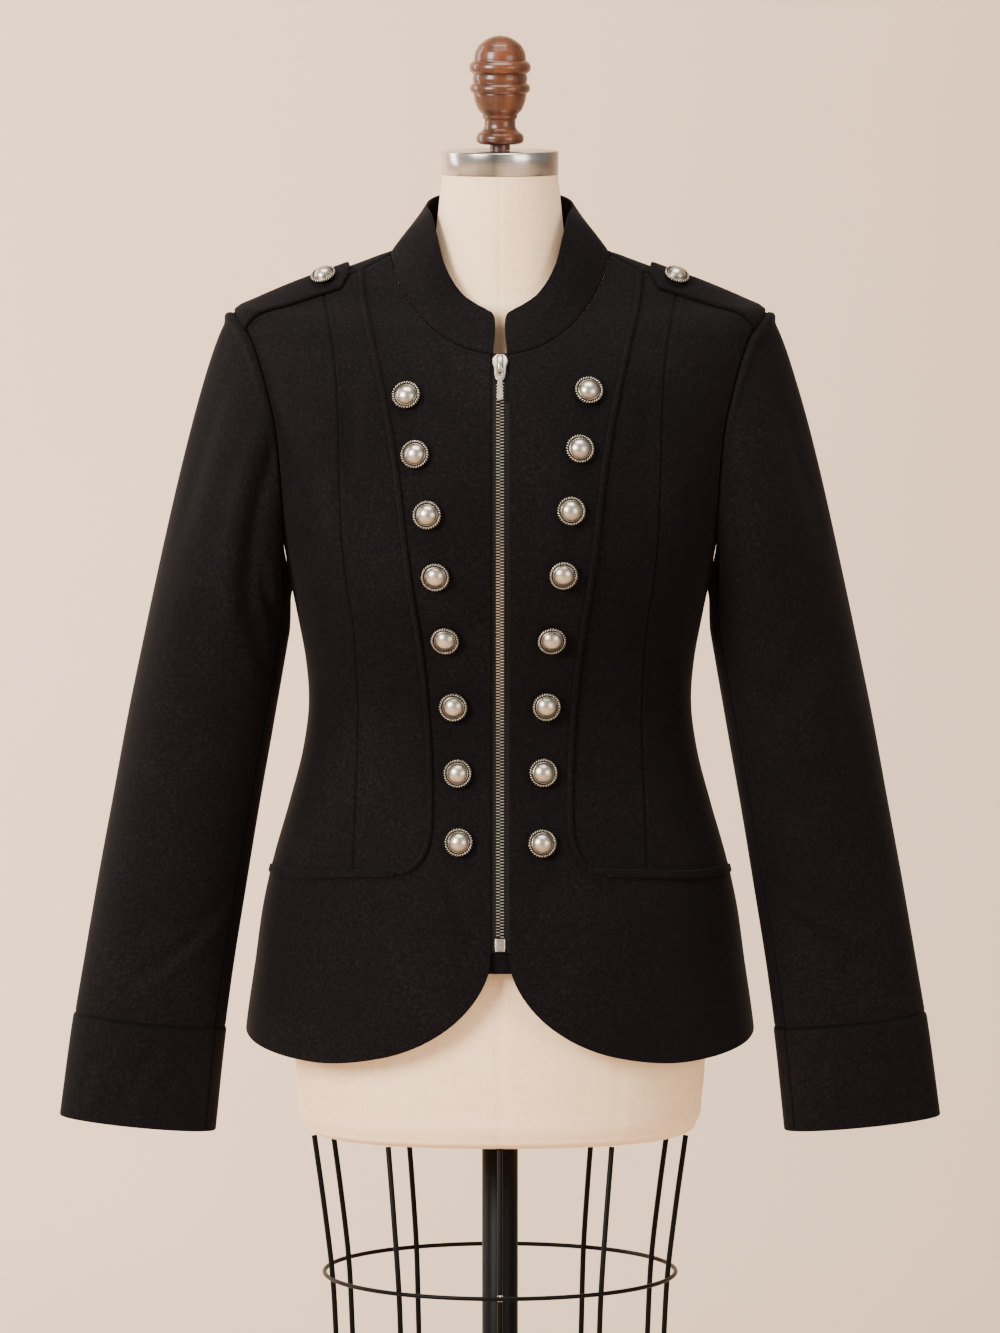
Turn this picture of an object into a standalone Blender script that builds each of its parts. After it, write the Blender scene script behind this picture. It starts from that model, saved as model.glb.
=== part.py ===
"""Fitted band jacket worn by a limbless dress form on a pole, with a wire skirt cage.

Metres, +Z up, the front faces -Y, and the floor is at Z = 0. Left and right are the
wearer's, so the left side lies towards +X. Each cloth piece is a thin wall on one
smooth body surface, or on a sleeve, and neighbours keep a 0.3 mm seam gap.
"""

import math

import bmesh
import bpy
import numpy as np
from mathutils import Matrix, Vector
from mathutils.bvhtree import BVHTree

# Cloth and seams
CLOTH = 0.0016
DOUBLED_CLOTH = 0.0026
SEAM_GAP = 0.0003
EDGE_PULL = 0.0002

# Heights above the floor
FORM_BOTTOM = 0.629
ZIP_TOP = 1.2045
ZIP_FOOT = 0.7755
GUARD_FOOT = 0.7600
ARMPIT = 1.0305
NECK_POINT_ACROSS = 0.0800
SIDE_WELT = 0.8230
SIDE_HEM = 0.7060
CAGE_RING = 0.5250
CAGE_FOOT = 0.3500

SHOULDER_TIP_ACROSS = 0.1933
FRONT_EDGE = 0.0071

# Jacket body, level sections: height, half width, front depth, back depth, squareness
BODY_COLUMNS = ("height", "half_width", "front", "back", "squareness")
BODY_SECTIONS = (
    (0.6800, 0.1885, 0.1280, 0.1400, 2.15),
    (0.7100, 0.1855, 0.1260, 0.1370, 2.15),
    (0.7550, 0.1790, 0.1220, 0.1310, 2.15),
    (0.8000, 0.1725, 0.1165, 0.1230, 2.15),
    (0.8290, 0.1660, 0.1110, 0.1150, 2.15),
    (0.8730, 0.1535, 0.1020, 0.1020, 2.15),
    (0.9100, 0.1440, 0.0960, 0.0930, 2.15),
    (0.9460, 0.1395, 0.0940, 0.0890, 2.15),
    (0.9760, 0.1415, 0.0985, 0.0910, 2.20),
    (1.0050, 0.1467, 0.1070, 0.0950, 2.25),
    (1.0305, 0.1520, 0.1150, 0.0990, 2.30),
    (1.0700, 0.1630, 0.1200, 0.1040, 2.30),
    (1.1100, 0.1730, 0.1180, 0.1070, 2.25),
    (1.1500, 0.1815, 0.1100, 0.1080, 2.20),
    (1.1850, 0.1890, 0.0965, 0.1030, 2.10),
    (1.2100, 0.1940, 0.0800, 0.0950, 2.00),
    (1.2230, 0.1960, 0.0685, 0.0890, 1.90),
    (1.2305, 0.1932, 0.0600, 0.0850, 1.76),
    (1.2352, 0.1820, 0.0550, 0.0820, 1.64),
    (1.2425, 0.1653, 0.0480, 0.0775, 1.56),
    (1.2495, 0.1485, 0.0410, 0.0730, 1.54),
    (1.2607, 0.1179, 0.0310, 0.0650, 1.54),
    (1.2680, 0.0980, 0.0265, 0.0590, 1.56),
    (1.2745, 0.0795, 0.0235, 0.0530, 1.60),
    (1.2800, 0.0560, 0.0200, 0.0450, 1.60),
)
BUST_SWELL = 0.0050
BUST_HEIGHT = 1.0650
BUST_ACROSS = 0.0560

# How many spans each seam is divided into. The piping's are shorter round its corner
NECK_STEPS = 6
BACK_NECK_STEPS = 4
SIDE_STEPS = 5
BACK_SIDE_STEPS = 8
EDGE_STEPS = 15
WELT_INNER_STEPS = 3
WELT_OUTER_STEPS = 5
BACK_SHARES = (
    0, 0.02, 0.045, 0.08, 0.13, 0.18, 0.23, 0.28, 0.33, 0.38, 0.43,
    0.48, 0.53, 0.58, 0.64, 0.70, 0.76, 0.82, 0.88, 0.94, 1,
)
PIPING_SHARES = (
    0, 0.09, 0.18, 0.27, 0.36, 0.45, 0.54, 0.62, 0.70,
    0.77, 0.83, 0.875, 0.905, 0.93, 0.952, 0.968, 0.984, 1,
)

# Shoulder seam seen from above: distance from the centre, how far it lies before the ridge
SHOULDER_COLUMNS = ("across", "forward")
SHOULDER_SEAM = (
    (0.0800, 0.0060),
    (0.0900, 0.0090),
    (0.1050, 0.0115),
    (0.1300, 0.0120),
    (0.1650, 0.0100),
    (0.1933, 0.0040),
)

# Front seams seen from the front: height, distance from the centre
SEAM_COLUMNS = ("height", "across")
PIPING_SEAM = (
    (1.2400, 0.0990),
    (1.2130, 0.0925),
    (1.1580, 0.0803),
    (1.0590, 0.0668),
    (1.0060, 0.0592),
    (0.9500, 0.0530),
    (0.9040, 0.0505),
    (0.8800, 0.0502),
    (0.8600, 0.0510),
    (0.8500, 0.0530),
    (0.8430, 0.0562),
    (0.8370, 0.0613),
    (0.8328, 0.0675),
    (0.8312, 0.0745),
)
PRINCESS_SEAM = (
    (1.2400, 0.1270),
    (1.2050, 0.1200),
    (1.1600, 0.1165),
    (1.1200, 0.1155),
    (1.0600, 0.1125),
    (1.0140, 0.1065),
    (0.9570, 0.1030),
    (0.8940, 0.1040),
    (0.8560, 0.1055),
    (0.8290, 0.1062),
)
BACK_PRINCESS = (
    (1.2000, 0.1120),
    (1.1200, 0.0960),
    (1.0300, 0.0810),
    (0.9460, 0.0720),
    (0.8700, 0.0800),
    (0.7700, 0.0980),
    (0.7010, 0.1080),
)
FRONT_ARMHOLE = (
    (1.2225, 0.1868),
    (1.2165, 0.1832),
    (1.1840, 0.1710),
    (1.1450, 0.1620),
    (1.1050, 0.1585),
    (1.0520, 0.1555),
)
BACK_ARMHOLE = (
    (1.2220, 0.1902),
    (1.2140, 0.1878),
    (1.1840, 0.1775),
    (1.1450, 0.1700),
    (1.1050, 0.1655),
    (1.0520, 0.1570),
)
NECKLINE = (
    (1.2047, 0.0071),
    (1.2085, 0.0240),
    (1.2215, 0.0480),
    (1.2370, 0.0635),
    (1.2540, 0.0742),
)
BACK_NECKLINE = (
    (1.2725, 0.0700),
    (1.2670, 0.0500),
    (1.2630, 0.0250),
    (1.2620, 0.0000),
)
CUTAWAY = (
    (0.7750, 0.0071),
    (0.7620, 0.0082),
    (0.7535, 0.0112),
    (0.7420, 0.0176),
    (0.7275, 0.0299),
    (0.7130, 0.0493),
    (0.7025, 0.0720),
    (0.6960, 0.0980),
    (0.6928, 0.1250),
    (0.6940, 0.1500),
    (0.6985, 0.1740),
)
BACK_HEMLINE = (
    (0.7035, 0.1740),
    (0.7015, 0.1420),
    (0.7010, 0.1080),
    (0.7010, 0.0540),
    (0.7010, 0.0000),
)

# Collar's top edge, from the centre front round to the centre back
COLLAR_COLUMNS = ("share", "across", "deep", "height")
COLLAR_TOP = (
    (0.00, 0.0048, -0.0600, 1.2300),
    (0.04, 0.0085, -0.0592, 1.2345),
    (0.12, 0.0175, -0.0570, 1.2395),
    (0.22, 0.0285, -0.0520, 1.2475),
    (0.34, 0.0405, -0.0430, 1.2665),
    (0.44, 0.0463, -0.0330, 1.2868),
    (0.51, 0.0498, -0.0200, 1.3000),
    (0.63, 0.0540, 0.0080, 1.3070),
    (0.78, 0.0460, 0.0400, 1.3125),
    (0.90, 0.0260, 0.0575, 1.3150),
    (1.00, 0.0000, 0.0630, 1.3155),
)
COLLAR_BELLY = 0.0015

# Sleeve, from the upper arm down: height, centre across, centre deep, half sizes
SLEEVE_COLUMNS = ("height", "across", "deep", "half_width", "half_depth")
SLEEVE_SECTIONS = (
    (1.0000, 0.2056, 0.0000, 0.0522, 0.0550),
    (0.9317, 0.2186, -0.0030, 0.0533, 0.0515),
    (0.8730, 0.2292, -0.0070, 0.0535, 0.0480),
    (0.8141, 0.2395, -0.0120, 0.0541, 0.0440),
    (0.7551, 0.2493, -0.0180, 0.0545, 0.0395),
    (0.7085, 0.2563, -0.0230, 0.0553, 0.0350),
    (0.6405, 0.2645, -0.0305, 0.0563, 0.0295),
)
SLEEVE_TILT = math.radians(5.6)
CUFF_PROUD = 0.0010
LOOP_HALF = 12
FRONT_SEAM_INDEX = 10
BACK_SEAM_INDEX = 16
CAP_ROWS = 7
ARM_ROWS = 6

# Front buttons: height and distance from the centre, wearer's right row, then the left
BUTTON_COLUMNS = ("right_height", "right_across", "left_height", "left_across")
BUTTON_ROWS = (
    (1.1752, 0.0670, 1.1785, 0.0634),
    (1.1340, 0.0605, 1.1379, 0.0569),
    (1.0913, 0.0519, 1.0942, 0.0507),
    (1.0475, 0.0462, 1.0486, 0.0454),
    (1.0009, 0.0391, 1.0009, 0.0370),
    (0.9510, 0.0331, 0.9513, 0.0331),
    (0.9024, 0.0302, 0.9029, 0.0309),
    (0.8533, 0.0295, 0.8526, 0.0302),
)
BUTTON_RADIUS = 0.0105
BUTTON_SIDES = 10
BUTTON_GAP = 0.0005
EPAULETTE_BUTTON_ACROSS = 0.1266
EPAULETTE_BUTTON_DEEP = -0.0105
EPAULETTE_BUTTON_SCALE = 0.9

# Epaulette seen from above: distance from the centre, front edge, back edge
EPAULETTE_COLUMNS = ("across", "front", "back")
EPAULETTE_OUTLINE = (
    (0.1922, -0.0238, 0.0170),
    (0.1800, -0.0232, 0.0165),
    (0.1680, -0.0228, 0.0160),
    (0.1560, -0.0224, 0.0155),
    (0.1440, -0.0220, 0.0150),
    (0.1330, -0.0217, 0.0145),
    (0.1220, -0.0215, 0.0140),
    (0.1150, -0.0213, 0.0135),
    (0.1095, -0.0115, 0.0030),
)
EPAULETTE_CUT_BACK = 0.0078
EPAULETTE_GAP = 0.0009

# Raised strips over the front seams
PIPING_WIDTH = 0.0044
PIPING_HEIGHT = 0.0020
WELT_WIDTH = 0.0062
WELT_HEIGHT = 0.0024

# Zip
TAPE_HALF = 0.0110
TAPE_THICK = 0.0008
CHAIN_HALF = 0.0030
CHAIN_THICK = 0.0022
BOX_HALF = 0.0042
BOX_LENGTH = 0.0095
GUARD_HALF = 0.0092
GUARD_THICK = 0.0012
SLIDER_LENGTH = 0.0195
SLIDER_TOP_HALF = 0.0046
SLIDER_FOOT_HALF = 0.0036
SLIDER_THICK = 0.0048
BRIDGE_HALF = 0.0011
BRIDGE_RISE = 0.0034
BRIDGE_WALL = 0.0010
PIN_RADIUS = 0.0006
PULL_EYE_HALF = 0.0014
PULL_ARM = 0.0009
PULL_LENGTH = 0.0245
PULL_LEAN = math.radians(2.5)

# Dress form, level sections: height, half width, front depth, back depth, squareness
FORM_SECTIONS = (
    (0.6290, 0.1340, 0.0930, 0.1000, 2.2),
    (0.6312, 0.1400, 0.0990, 0.1060, 2.2),
    (0.6370, 0.1445, 0.1035, 0.1105, 2.2),
    (0.6580, 0.1485, 0.1070, 0.1140, 2.2),
    (0.6950, 0.1508, 0.1085, 0.1160, 2.2),
    (0.7450, 0.1480, 0.1060, 0.1130, 2.2),
    (0.8000, 0.1400, 0.1000, 0.1060, 2.2),
    (0.8700, 0.1270, 0.0890, 0.0900, 2.2),
    (0.9460, 0.1190, 0.0800, 0.0740, 2.2),
    (1.0000, 0.1250, 0.0890, 0.0810, 2.2),
    (1.0550, 0.1360, 0.1020, 0.0890, 2.2),
    (1.1100, 0.1480, 0.1020, 0.0940, 2.2),
    (1.1600, 0.1600, 0.0930, 0.0950, 2.1),
    (1.1950, 0.1700, 0.0790, 0.0890, 2.0),
    (1.2170, 0.1765, 0.0600, 0.0780, 1.90),
    (1.2271, 0.1800, 0.0510, 0.0660, 1.76),
    (1.2318, 0.1770, 0.0480, 0.0630, 1.64),
    (1.2387, 0.1653, 0.0420, 0.0610, 1.56),
    (1.2457, 0.1485, 0.0350, 0.0550, 1.54),
    (1.2573, 0.1179, 0.0255, 0.0450, 1.54),
    (1.2646, 0.0960, 0.0210, 0.0390, 1.56),
    (1.2705, 0.0720, 0.0180, 0.0340, 1.60),
    (1.2820, 0.0380, 0.0150, 0.0300, 1.80),
)
# The form's neck: height, half width, front depth, back depth
NECK_COLUMNS = ("height", "half_width", "front", "back")
NECK_SECTIONS = (
    (1.1800, 0.0700, 0.0500, 0.0620),
    (1.2300, 0.0560, 0.0480, 0.0560),
    (1.2550, 0.0505, 0.0465, 0.0525),
    (1.2846, 0.0472, 0.0455, 0.0500),
    (1.3290, 0.0425, 0.0445, 0.0485),
)
NECK_RINGS = (1.3000, 1.3290)
NECK_BLEND = 10.0
FORM_SIDES = 28

# Turned and bent metal and wood
NECK_CAP_TOP = 1.3475
FINIAL_COLUMNS = ("height", "radius")
FINIAL_PROFILE = (
    (1.3478, 0.0073),
    (1.3515, 0.0073),
    (1.3535, 0.0150),
    (1.3565, 0.0174),
    (1.3605, 0.0160),
    (1.3625, 0.0117),
    (1.3735, 0.0122),
    (1.3860, 0.0185),
    (1.3885, 0.0205),
    (1.3925, 0.0220),
    (1.3965, 0.0205),
    (1.4003, 0.0190),
    (1.4040, 0.0208),
    (1.4085, 0.0224),
    (1.4130, 0.0208),
    (1.4190, 0.0188),
    (1.4265, 0.0120),
    (1.4311, 0.0000),
)
POLE_RADIUS = 0.0132
BASE_PROFILE = (
    (0.0000, 0.1800),
    (0.0090, 0.1800),
    (0.0125, 0.1760),
    (0.0170, 0.0480),
    (0.0380, 0.0260),
    (0.0400, 0.0220),
)
ROD_RADIUS = 0.0020
RING_RADIUS = 0.0016
WELD_RADIUS = 0.0030
ROD_ANGLES = (36.0, 80.0, 116.0, 150.0)
# Cage rods: height, reach sideways, reach to the front and back
ROD_COLUMNS = ("height", "sideways", "deep")
ROD_PATH = (
    (0.6280, 0.1380, 0.0945),
    (0.5750, 0.1305, 0.1130),
    (0.5250, 0.1245, 0.1245),
    (0.4700, 0.1215, 0.1215),
    (0.3420, 0.1160, 0.1160),
)


def clear_scene():
    for thing in list(bpy.data.objects):
        bpy.data.objects.remove(thing)


def finish_of(name, color, roughness, metallic=0.0):
    """A plain Principled material."""
    made = bpy.data.materials.new(name)
    made.use_nodes = True
    shader = made.node_tree.nodes["Principled BSDF"]
    shader.inputs["Base Color"].default_value = (*color, 1.0)
    shader.inputs["Roughness"].default_value = roughness
    shader.inputs["Metallic"].default_value = metallic
    return made


def column(table, names, name):
    return np.array([row[names.index(name)] for row in table], float)


def smooth_through(stations, values, at):
    """Smooth curve through the table's points, straight beyond its ends."""
    order = np.argsort(stations)
    x, y = np.asarray(stations, float)[order], np.asarray(values, float)[order]
    step = np.diff(x)
    slope = np.diff(y) / step
    tangent = np.empty_like(y)
    tangent[0], tangent[-1] = slope[0], slope[-1]
    tangent[1:-1] = (slope[:-1] * step[1:] + slope[1:] * step[:-1]) / (step[:-1] + step[1:])
    at = np.asarray(at, float)
    i = np.clip(np.searchsorted(x, at) - 1, 0, len(step) - 1)
    t = (at - x[i]) / step[i]
    inside = (
        (2 * t**3 - 3 * t**2 + 1) * y[i]
        + (t**3 - 2 * t**2 + t) * step[i] * tangent[i]
        + (3 * t**2 - 2 * t**3) * y[i + 1]
        + (t**3 - t**2) * step[i] * tangent[i + 1]
    )
    below = y[0] + tangent[0] * (at - x[0])
    above = y[-1] + tangent[-1] * (at - x[-1])
    return np.where(t < 0, below, np.where(t > 1, above, inside))


def section_at(table, height):
    """Half width, front depth, back depth and squareness at each height."""
    heights = column(table, BODY_COLUMNS, "height")
    names = BODY_COLUMNS[1:]
    return [smooth_through(heights, column(table, BODY_COLUMNS, n), height) for n in names]


def bust_swell(point):
    """Soft fullness over each side of the chest, measured forward."""
    up = ((point[..., 2] - BUST_HEIGHT) / 0.050) ** 2
    aside = ((np.abs(point[..., 0]) - BUST_ACROSS) / 0.036) ** 2
    return np.where(point[..., 1] < 0, BUST_SWELL * np.exp(-up - aside), 0.0)


def level(point):
    """Under 0 inside the jacket's outer face, 0 on it and over 0 outside it."""
    width, front, back, square = section_at(BODY_SECTIONS, point[..., 2])
    deep = point[..., 1] + bust_swell(point)
    depth = np.where(deep < 0, front, back)
    return (np.abs(point[..., 0]) / width) ** square + (np.abs(deep) / depth) ** square - 1


def level_slope(point):
    """How fast the level grows along each axis, which points out of the cloth."""
    step = 0.0002 * np.eye(3)
    return np.stack([level(point + move) - level(point - move) for move in step], axis=-1) / 0.0004


def onto_body(points):
    """Points moved square onto the jacket's outer face."""
    points = np.array(points, float)
    for _ in range(8):
        slope = level_slope(points)
        points -= (level(points) / (slope**2).sum(-1))[..., None] * slope
    return points


def body_normal(points):
    """Direction out of the cloth."""
    return unit(level_slope(points))


def face_point(across, height, back=False):
    """Point of the jacket's outer face seen from the front, or from the back."""
    across, height = np.broadcast_arrays(np.asarray(across, float), np.asarray(height, float))
    width, front, rear, square = section_at(BODY_SECTIONS, height)
    share = np.clip(across / width, 0.0, 1.0)
    depth = (1 - share**square) ** (1 / square)
    deep = rear * depth if back else -front * depth
    point = np.stack([across, deep, height], axis=-1)
    point[..., 1] -= bust_swell(point)
    return point


def side_point(height):
    """Point of the side seam."""
    return face_point(section_at(BODY_SECTIONS, np.asarray(height, float))[0], height)


def top_height(across, deep):
    """Height of the shoulder's outer face over a point of the plan."""
    across, deep = np.broadcast_arrays(np.asarray(across, float), np.asarray(deep, float))
    low, high = np.full(across.shape, 1.14), np.full(across.shape, 1.2795)
    for _ in range(40):
        middle = (low + high) / 2
        inside = level(np.stack([across, deep, middle], axis=-1)) < 0
        low, high = np.where(inside, middle, low), np.where(inside, high, middle)
    return (low + high) / 2


def shoulder_point(across):
    """Point of the shoulder seam."""
    table = [column(SHOULDER_SEAM, SHOULDER_COLUMNS, name) for name in SHOULDER_COLUMNS]
    deep = -float(smooth_through(*table, across))
    return np.array([across, deep, float(top_height(across, deep))])


def unit(vectors):
    return vectors / np.linalg.norm(vectors, axis=-1, keepdims=True)


def seam(table, back=False):
    """Points along a seam, from its table of heights and distances."""
    height, across = (column(table, SEAM_COLUMNS, name) for name in SEAM_COLUMNS)
    return face_point(across, height, back)


def along(points, count, shares=None):
    """Evenly spaced samples on the body of the smooth curve through points."""
    points = np.asarray(points, float)
    run = np.concatenate([[0], np.cumsum(np.linalg.norm(np.diff(points, axis=0), axis=1))])
    at = run[-1] * (np.linspace(0, 1, count + 1) if shares is None else np.array(shares))
    return onto_body(np.stack([smooth_through(run, points[:, i], at) for i in range(3)], axis=-1))


def joined(*parts):
    """One run of points from several that share their end points."""
    return np.concatenate([parts[0]] + [part[1:] for part in parts[1:]])


def patch(inner, outer, top, foot):
    """Grid on the body between four edges: rows go down, columns go outwards."""
    down = np.linspace(0, 1, len(inner))[:, None, None]
    over = np.linspace(0, 1, len(top))[None, :, None]
    sides = inner[:, None] * (1 - over) + outer[:, None] * over
    ends = top[None, :] * (1 - down) + foot[None, :] * down
    corners = (
        inner[0] * (1 - down) * (1 - over)
        + outer[0] * (1 - down) * over
        + inner[-1] * down * (1 - over)
        + outer[-1] * down * over
    )
    return onto_body(sides + ends - corners)


def drawn_in(points, pull):
    """Outer rows and columns drawn in a little, which leaves half of the seam gap."""
    points = points.copy()
    edges = (
        (points[0], points[1]),
        (points[-1], points[-2]),
        (points[:, 0], points[:, 1]),
        (points[:, -1], points[:, -2]),
    )
    moves = [pull * unit(inside - edge) for edge, inside in edges]
    for (edge, _), move in zip(edges, moves):
        edge += move
    return points


def add_mesh(name, points, faces, finish):
    """Named object of a closed mesh, faces out, smooth but for its sharp edges."""
    shape = bmesh.new()
    corners = [shape.verts.new(point) for point in points]
    for face in faces:
        shape.faces.new([corners[i] for i in face])
    bmesh.ops.recalc_face_normals(shape, faces=shape.faces)
    mesh = bpy.data.meshes.new(name)
    shape.to_mesh(mesh)
    shape.free()
    mesh.shade_smooth()
    mesh.set_sharp_from_angle(angle=math.radians(40))
    mesh.materials.append(finish)
    thing = bpy.data.objects.new(name, mesh)
    bpy.context.scene.collection.objects.link(thing)
    return thing


def add_wall(name, outer, inner, finish, ring=False):
    """Closed wall between an outer and an inner grid of points.

    With ring set, the columns go all round, so the last joins the first.
    """
    rows, columns = outer.shape[:2]
    index = np.arange(rows * columns).reshape(rows, columns)
    if ring:
        index = np.concatenate([index, index[:, :1]], axis=1)
    back = index + rows * columns
    faces = []
    for grid in (index, back):
        quads = np.stack([grid[:-1, :-1], grid[1:, :-1], grid[1:, 1:], grid[:-1, 1:]], axis=-1)
        quads = quads.reshape(-1, 4)
        faces += (quads if grid is index else quads[:, ::-1]).tolist()
    edges = [(index[0], back[0]), (index[-1], back[-1])]
    if not ring:
        edges += [(index[:, 0], back[:, 0]), (index[:, -1], back[:, -1])]
    # Every edge splits along the same diagonal, so that neighbours' edges lie parallel
    for near, far in edges:
        faces += np.stack([near[:-1], near[1:], far[1:]], axis=-1).tolist()
        faces += np.stack([near[:-1], far[1:], far[:-1]], axis=-1).tolist()
    points = np.concatenate([outer.reshape(-1, 3), inner.reshape(-1, 3)])
    return add_mesh(name, points, faces, finish)


def mirrored(points):
    return points * np.array([-1.0, 1.0, 1.0])


def both_sides(name, outer, inner, finish, ring=False):
    """The same wall on the wearer's left and, mirrored, on the right."""
    add_wall(f"{name}_left", outer, inner, finish, ring)
    add_wall(f"{name}_right", mirrored(outer), mirrored(inner), finish, ring)


def panel_faces(grid, thick=CLOTH):
    """Outer and inner points of a body panel from its grid."""
    return drawn_in(grid, EDGE_PULL), drawn_in(grid, EDGE_PULL) - thick * body_normal(grid)


def seams():
    """Every seam of the left half as points to run a curve through."""
    neck = shoulder_point(NECK_POINT_ACROSS)
    tip = shoulder_point(SHOULDER_TIP_ACROSS)
    piping_top = shoulder_point(0.1010)
    princess_top = shoulder_point(0.1300)
    armpit, side_welt, side_hem = side_point(ARMPIT), side_point(SIDE_WELT), side_point(SIDE_HEM)
    piping = np.concatenate([[piping_top], seam(PIPING_SEAM)])
    princess = np.concatenate([[princess_top], seam(PRINCESS_SEAM)])
    back_princess = np.concatenate([[princess_top], seam(BACK_PRINCESS, back=True)])
    side_heights = np.array([0.99, 0.9460, 0.90, 0.86])
    upper_side = np.concatenate([[armpit], side_point(side_heights), [side_welt]])
    lower_side = np.concatenate([[side_welt], side_point(np.array([0.78, 0.745])), [side_hem]])
    edge_heights = np.array([1.2047, 1.16, 1.11, 1.06, 1.03, 0.99, 0.946, 0.90, 0.86, 0.82, 0.775])
    back_hem = seam(BACK_HEMLINE, back=True)
    return {
        "neckline": np.concatenate([seam(NECKLINE), [neck]]),
        "back_neckline": np.concatenate([[neck], seam(BACK_NECKLINE, back=True)]),
        "neck_to_piping": np.array([neck, piping_top]),
        "piping_to_princess": np.array([piping_top, princess_top]),
        "princess_to_tip": np.array([princess_top, shoulder_point(0.165), shoulder_point(0.182), tip]),
        "piping": piping,
        "princess": princess,
        "back_princess": back_princess,
        "front_hole": np.concatenate([[tip], seam(FRONT_ARMHOLE), [armpit]]),
        "back_hole": np.concatenate([[tip], seam(BACK_ARMHOLE, back=True), [armpit]]),
        "side_upper": upper_side,
        "side_lower": lower_side,
        "side_all": joined(upper_side, lower_side),
        "welt_inner": np.array([piping[-1], face_point(0.088, 0.8302), princess[-1]]),
        "welt_outer": np.array([princess[-1], face_point(0.135, 0.8262), side_welt]),
        "front_edge": face_point(FRONT_EDGE, edge_heights),
        "hem": np.concatenate([seam(CUTAWAY), [side_hem]]),
        "back_hem_side": np.concatenate([[side_hem], back_hem[:3]]),
        "back_hem_centre": back_hem[2:],
    }


def front_panels(lines, cloth):
    """Centre front with its peplum, middle front and side front, both sides."""
    piping = along(lines["piping"], 0, PIPING_SHARES)
    welt_inner = along(lines["welt_inner"], WELT_INNER_STEPS)
    welt_outer = along(lines["welt_outer"], WELT_OUTER_STEPS)
    outer = joined(piping, welt_inner, welt_outer)
    hem_steps = len(outer) - 1 - EDGE_STEPS
    inner = joined(along(lines["front_edge"], EDGE_STEPS), along(lines["hem"], hem_steps))
    top = joined(along(lines["neckline"], NECK_STEPS), along(lines["neck_to_piping"], 1))
    foot = along(lines["side_lower"], NECK_STEPS + 1)[::-1]
    both_sides("front_centre", *panel_faces(patch(inner, outer, top, foot)), cloth)

    top = along(lines["piping_to_princess"], WELT_INNER_STEPS)
    princess = along(lines["princess"], LOOP_HALF + SIDE_STEPS)
    both_sides("front_middle", *panel_faces(patch(piping, princess, top, welt_inner)), cloth)

    outer = joined(along(lines["front_hole"], LOOP_HALF), along(lines["side_upper"], SIDE_STEPS))
    inner = along(lines["princess"], len(outer) - 1)
    top = along(lines["princess_to_tip"], WELT_OUTER_STEPS)
    both_sides("front_side", *panel_faces(patch(inner, outer, top, welt_outer)), cloth)


def back_panels(lines, cloth):
    """Centre back in one piece, and a side back on each side."""
    edge = along(lines["back_princess"], 0, BACK_SHARES)
    shoulder = joined(along(lines["neck_to_piping"], 1), along(lines["piping_to_princess"], WELT_INNER_STEPS))
    top = joined(shoulder[::-1], along(lines["back_neckline"], BACK_NECK_STEPS))
    foot = along(lines["back_hem_centre"], len(top) - 1)
    middle_heights = top[-1, 2] + (foot[-1, 2] - top[-1, 2]) * np.array(BACK_SHARES)
    middle = onto_body(face_point(0.0, middle_heights, back=True))
    half = patch(edge, middle, top, foot)
    normal = body_normal(half)
    outer = drawn_in(np.concatenate([half, mirrored(half)[:, -2::-1]], axis=1), EDGE_PULL)
    normals = np.concatenate([normal, mirrored(normal)[:, -2::-1]], axis=1)
    add_wall("back_centre", outer, outer - CLOTH * normals, cloth)

    outer = joined(along(lines["back_hole"], LOOP_HALF), along(lines["side_all"], BACK_SIDE_STEPS))
    inner = along(lines["back_princess"], 0, BACK_SHARES)
    top = along(lines["princess_to_tip"], WELT_OUTER_STEPS)
    foot = along(lines["back_hem_side"], WELT_OUTER_STEPS)[::-1]
    both_sides("back_side", *panel_faces(patch(inner, outer, top, foot)), cloth)


def bent_edge(place, normal, into, next_place, thick):
    """First ring of a piece sewn on at an angle: its outer and inner points.

    The wall starts a seam gap past the edge and is mitred halfway through the turn.
    """
    leave = unit(next_place - place)
    turn = np.arctan2((leave * normal).sum(-1), (leave * into).sum(-1))[..., None]
    half = np.clip(turn, -1.2, math.pi) / 2
    lift = into + normal * np.sin(np.clip(turn, 0, math.pi) / 2) ** 2
    outer = place + SEAM_GAP * lift
    return outer, outer + thick * (into * np.sin(half) - normal * np.cos(half))


def grid_normals(points, ring):
    """Normals of a grid whose rows go down and whose columns go round."""
    down = np.gradient(points, axis=0)
    if ring:
        over = np.roll(points, -1, axis=1) - np.roll(points, 1, axis=1)
    else:
        over = np.gradient(points, axis=1)
    return unit(np.cross(over, down))


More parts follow.
